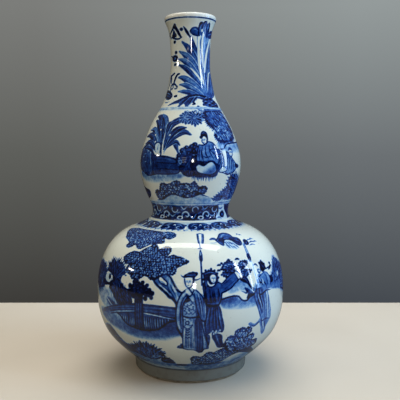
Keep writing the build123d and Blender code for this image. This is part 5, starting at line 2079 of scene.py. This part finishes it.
# The room as the glaze mirrors it, and the light that it gives on the left and on the right
MIRRORED_ROOM = [(0.0, (36, 32, 30)), (0.5, (54, 50, 47)), (0.75, (92, 92, 92)), (1.0, (136, 138, 140))]
WARM_LIGHT = [(0.0, (44, 42, 38)), (0.4, (116, 104, 97)), (0.75, (226, 216, 190)), (1.0, (250, 246, 236))]
COOL_LIGHT = [(0.0, (38, 42, 46)), (0.4, (108, 121, 131)), (0.75, (204, 226, 236)), (1.0, (246, 248, 250))]

# Name, degrees right of the camera, degrees up, distance, width and height, power, colour, if it is mirrored
LAMPS = [
    ("ceiling", -8, 86, 1.5, (1.5, 0.36), 9, (255, 252, 244), True),
    ("high_behind", 172, 66, 1.7, (1.2, 0.9), 13, (255, 252, 246), False),
    ("high_front", 4, 60, 1.7, (1.0, 0.7), 5.6, (254, 252, 243), False),
    ("low_front", 0, 28, 1.7, (1.6, 0.7), 2.8, (255, 249, 243), False),
    ("side_right", 76, 28, 1.6, (1.0, 1.0), 14, (178, 220, 248), False),
    ("side_left", -76, 30, 1.6, (1.0, 1.0), 2.0, (255, 222, 150), False),
    ("window_near", 63, 22, 1.5, (0.06, 0.55), 3.4, (206, 224, 255), True),
    ("window_middle", 76, 10, 1.5, (0.04, 1.0), 2.0, (180, 212, 255), True),
    ("window_far", 86, 12, 1.5, (0.16, 0.9), 2.6, (150, 194, 255), True),
    ("left_lamp", -79, 17, 1.5, (0.22, 0.03), 0.9, (255, 250, 240), True),
    ("front_lamp", 5, 9, 1.6, (0.08, 0.19), 2.3, (255, 253, 250), True),
]
PANELS_UP = (6, 11, 16)


def table():
    """A pale cloth-covered table that ends behind the vase, darker in the light that it gives back."""
    n = Nodes(bpy.data.materials.new("table_cloth"))
    weave = n.noise(900, 2.0)
    shade = n.mix(n.noise(6, 2.0), colour(*CLOTH_PALE), colour(*CLOTH_DARK))
    seen = n.add("ShaderNodeLightPath").outputs["Is Camera Ray"]
    shade = n.mix(seen, colour(*CLOTH_BOUNCE), shade)
    cloth = n.finish(shade, 0.85, n.bump(weave, 0.0002, {"Strength": 0.4}), {"Specular IOR Level": 0.2})
    mesh = bpy.data.meshes.new("table")
    edge = bmesh.new()
    bmesh.ops.create_cube(edge, size=1.0)
    middle = Vector((0, TABLE_EDGE - TABLE_SIZE.y / 2, -TABLE_SIZE.z / 2))
    for v in edge.verts:
        v.co = middle + v.co * TABLE_SIZE
    bmesh.ops.bevel(edge, geom=edge.edges[:], offset=TABLE_ROUND, segments=3, affect="EDGES")
    edge.to_mesh(mesh)
    edge.free()
    mesh.materials.append(cloth)
    obj = bpy.data.objects.new("table", mesh)
    bpy.context.scene.collection.objects.link(obj)


def room():
    """A grey wall with painted shade, lighter above and to the right, a darker mirrored room, and soft light
    from above.
    """
    world = bpy.data.worlds.new("room")
    bpy.context.scene.world = world
    n = Nodes(world, "Generated")
    parts = n.add("ShaderNodeSeparateXYZ", {0: n.place}).outputs
    across, up = parts["X"], parts["Z"]
    left = n.ramp(n.range(up, -0.24, 0.22), WALL_LEFT)
    right = n.ramp(n.range(up, -0.24, 0.22), WALL_RIGHT)
    wall = n.mix(n.range(across, -0.24, 0.26), left, right)
    mirrored = n.ramp(n.range(up, -1.0, 1.0), MIRRORED_ROOM)
    warm = n.ramp(n.range(up, -0.6, 1.0), WARM_LIGHT)
    cool = n.ramp(n.range(up, -0.6, 1.0), COOL_LIGHT)
    soft = n.mix(n.range(across, -0.6, 0.6), warm, cool)
    path = n.add("ShaderNodeLightPath").outputs
    seen = n.math("MAXIMUM", path["Is Camera Ray"], path["Is Transmission Ray"])
    around = n.add("ShaderNodeBackground", {"Color": soft, "Strength": WORLD_STRENGTH}).outputs[0]
    shine = n.add("ShaderNodeBackground", {"Color": mirrored}).outputs[0]
    backdrop = n.add("ShaderNodeBackground", {"Color": wall}).outputs[0]
    first = n.add("ShaderNodeMixShader", {0: path["Is Glossy Ray"], 1: around, 2: shine}).outputs[0]
    second = n.add("ShaderNodeMixShader", {0: seen, 1: first, 2: backdrop}).outputs[0]
    n.add("ShaderNodeOutputWorld", {"Surface": second})


def lamp(name, azimuth, elevation, distance, size, power, tint, mirrored):
    """A rectangular lamp that faces the vase."""
    light = bpy.data.lights.new(name, "AREA")
    light.shape = "RECTANGLE"
    light.size, light.size_y = size
    light.energy = power
    light.color = colour(*tint)[:3]
    turn, rise = math.radians(azimuth), math.radians(elevation)
    away = Vector((math.sin(turn) * math.cos(rise), -math.cos(turn) * math.cos(rise), math.sin(rise)))
    obj = bpy.data.objects.new(name, light)
    obj.location = LAMPS_AIM + away * distance
    obj.rotation_euler = away.to_track_quat("Z", "Y").to_euler()
    obj.visible_glossy = mirrored
    bpy.context.scene.collection.objects.link(obj)


def camera():
    """A camera that sees the vase from where the photograph was taken."""
    data = bpy.data.cameras.new("camera")
    data.sensor_width = CAMERA_SENSOR
    data.lens = CAMERA_LENS
    data.shift_x = CAMERA_SHIFT
    obj = bpy.data.objects.new("camera", data)
    obj.location = (0, -CAMERA_DISTANCE, CAMERA_HEIGHT)
    obj.rotation_euler = (math.pi / 2 - CAMERA_DOWN, 0, 0)
    bpy.context.scene.collection.objects.link(obj)
    bpy.context.scene.camera = obj


bpy.context.scene.view_settings.view_transform = "Standard"
camera()
table()
room()
for settings in LAMPS:
    lamp(*settings)
for rise in PANELS_UP:
    lamp(f"panel_{rise}", -14, rise, 1.6, (0.26, 0.03), 0.08, (255, 252, 246), True)
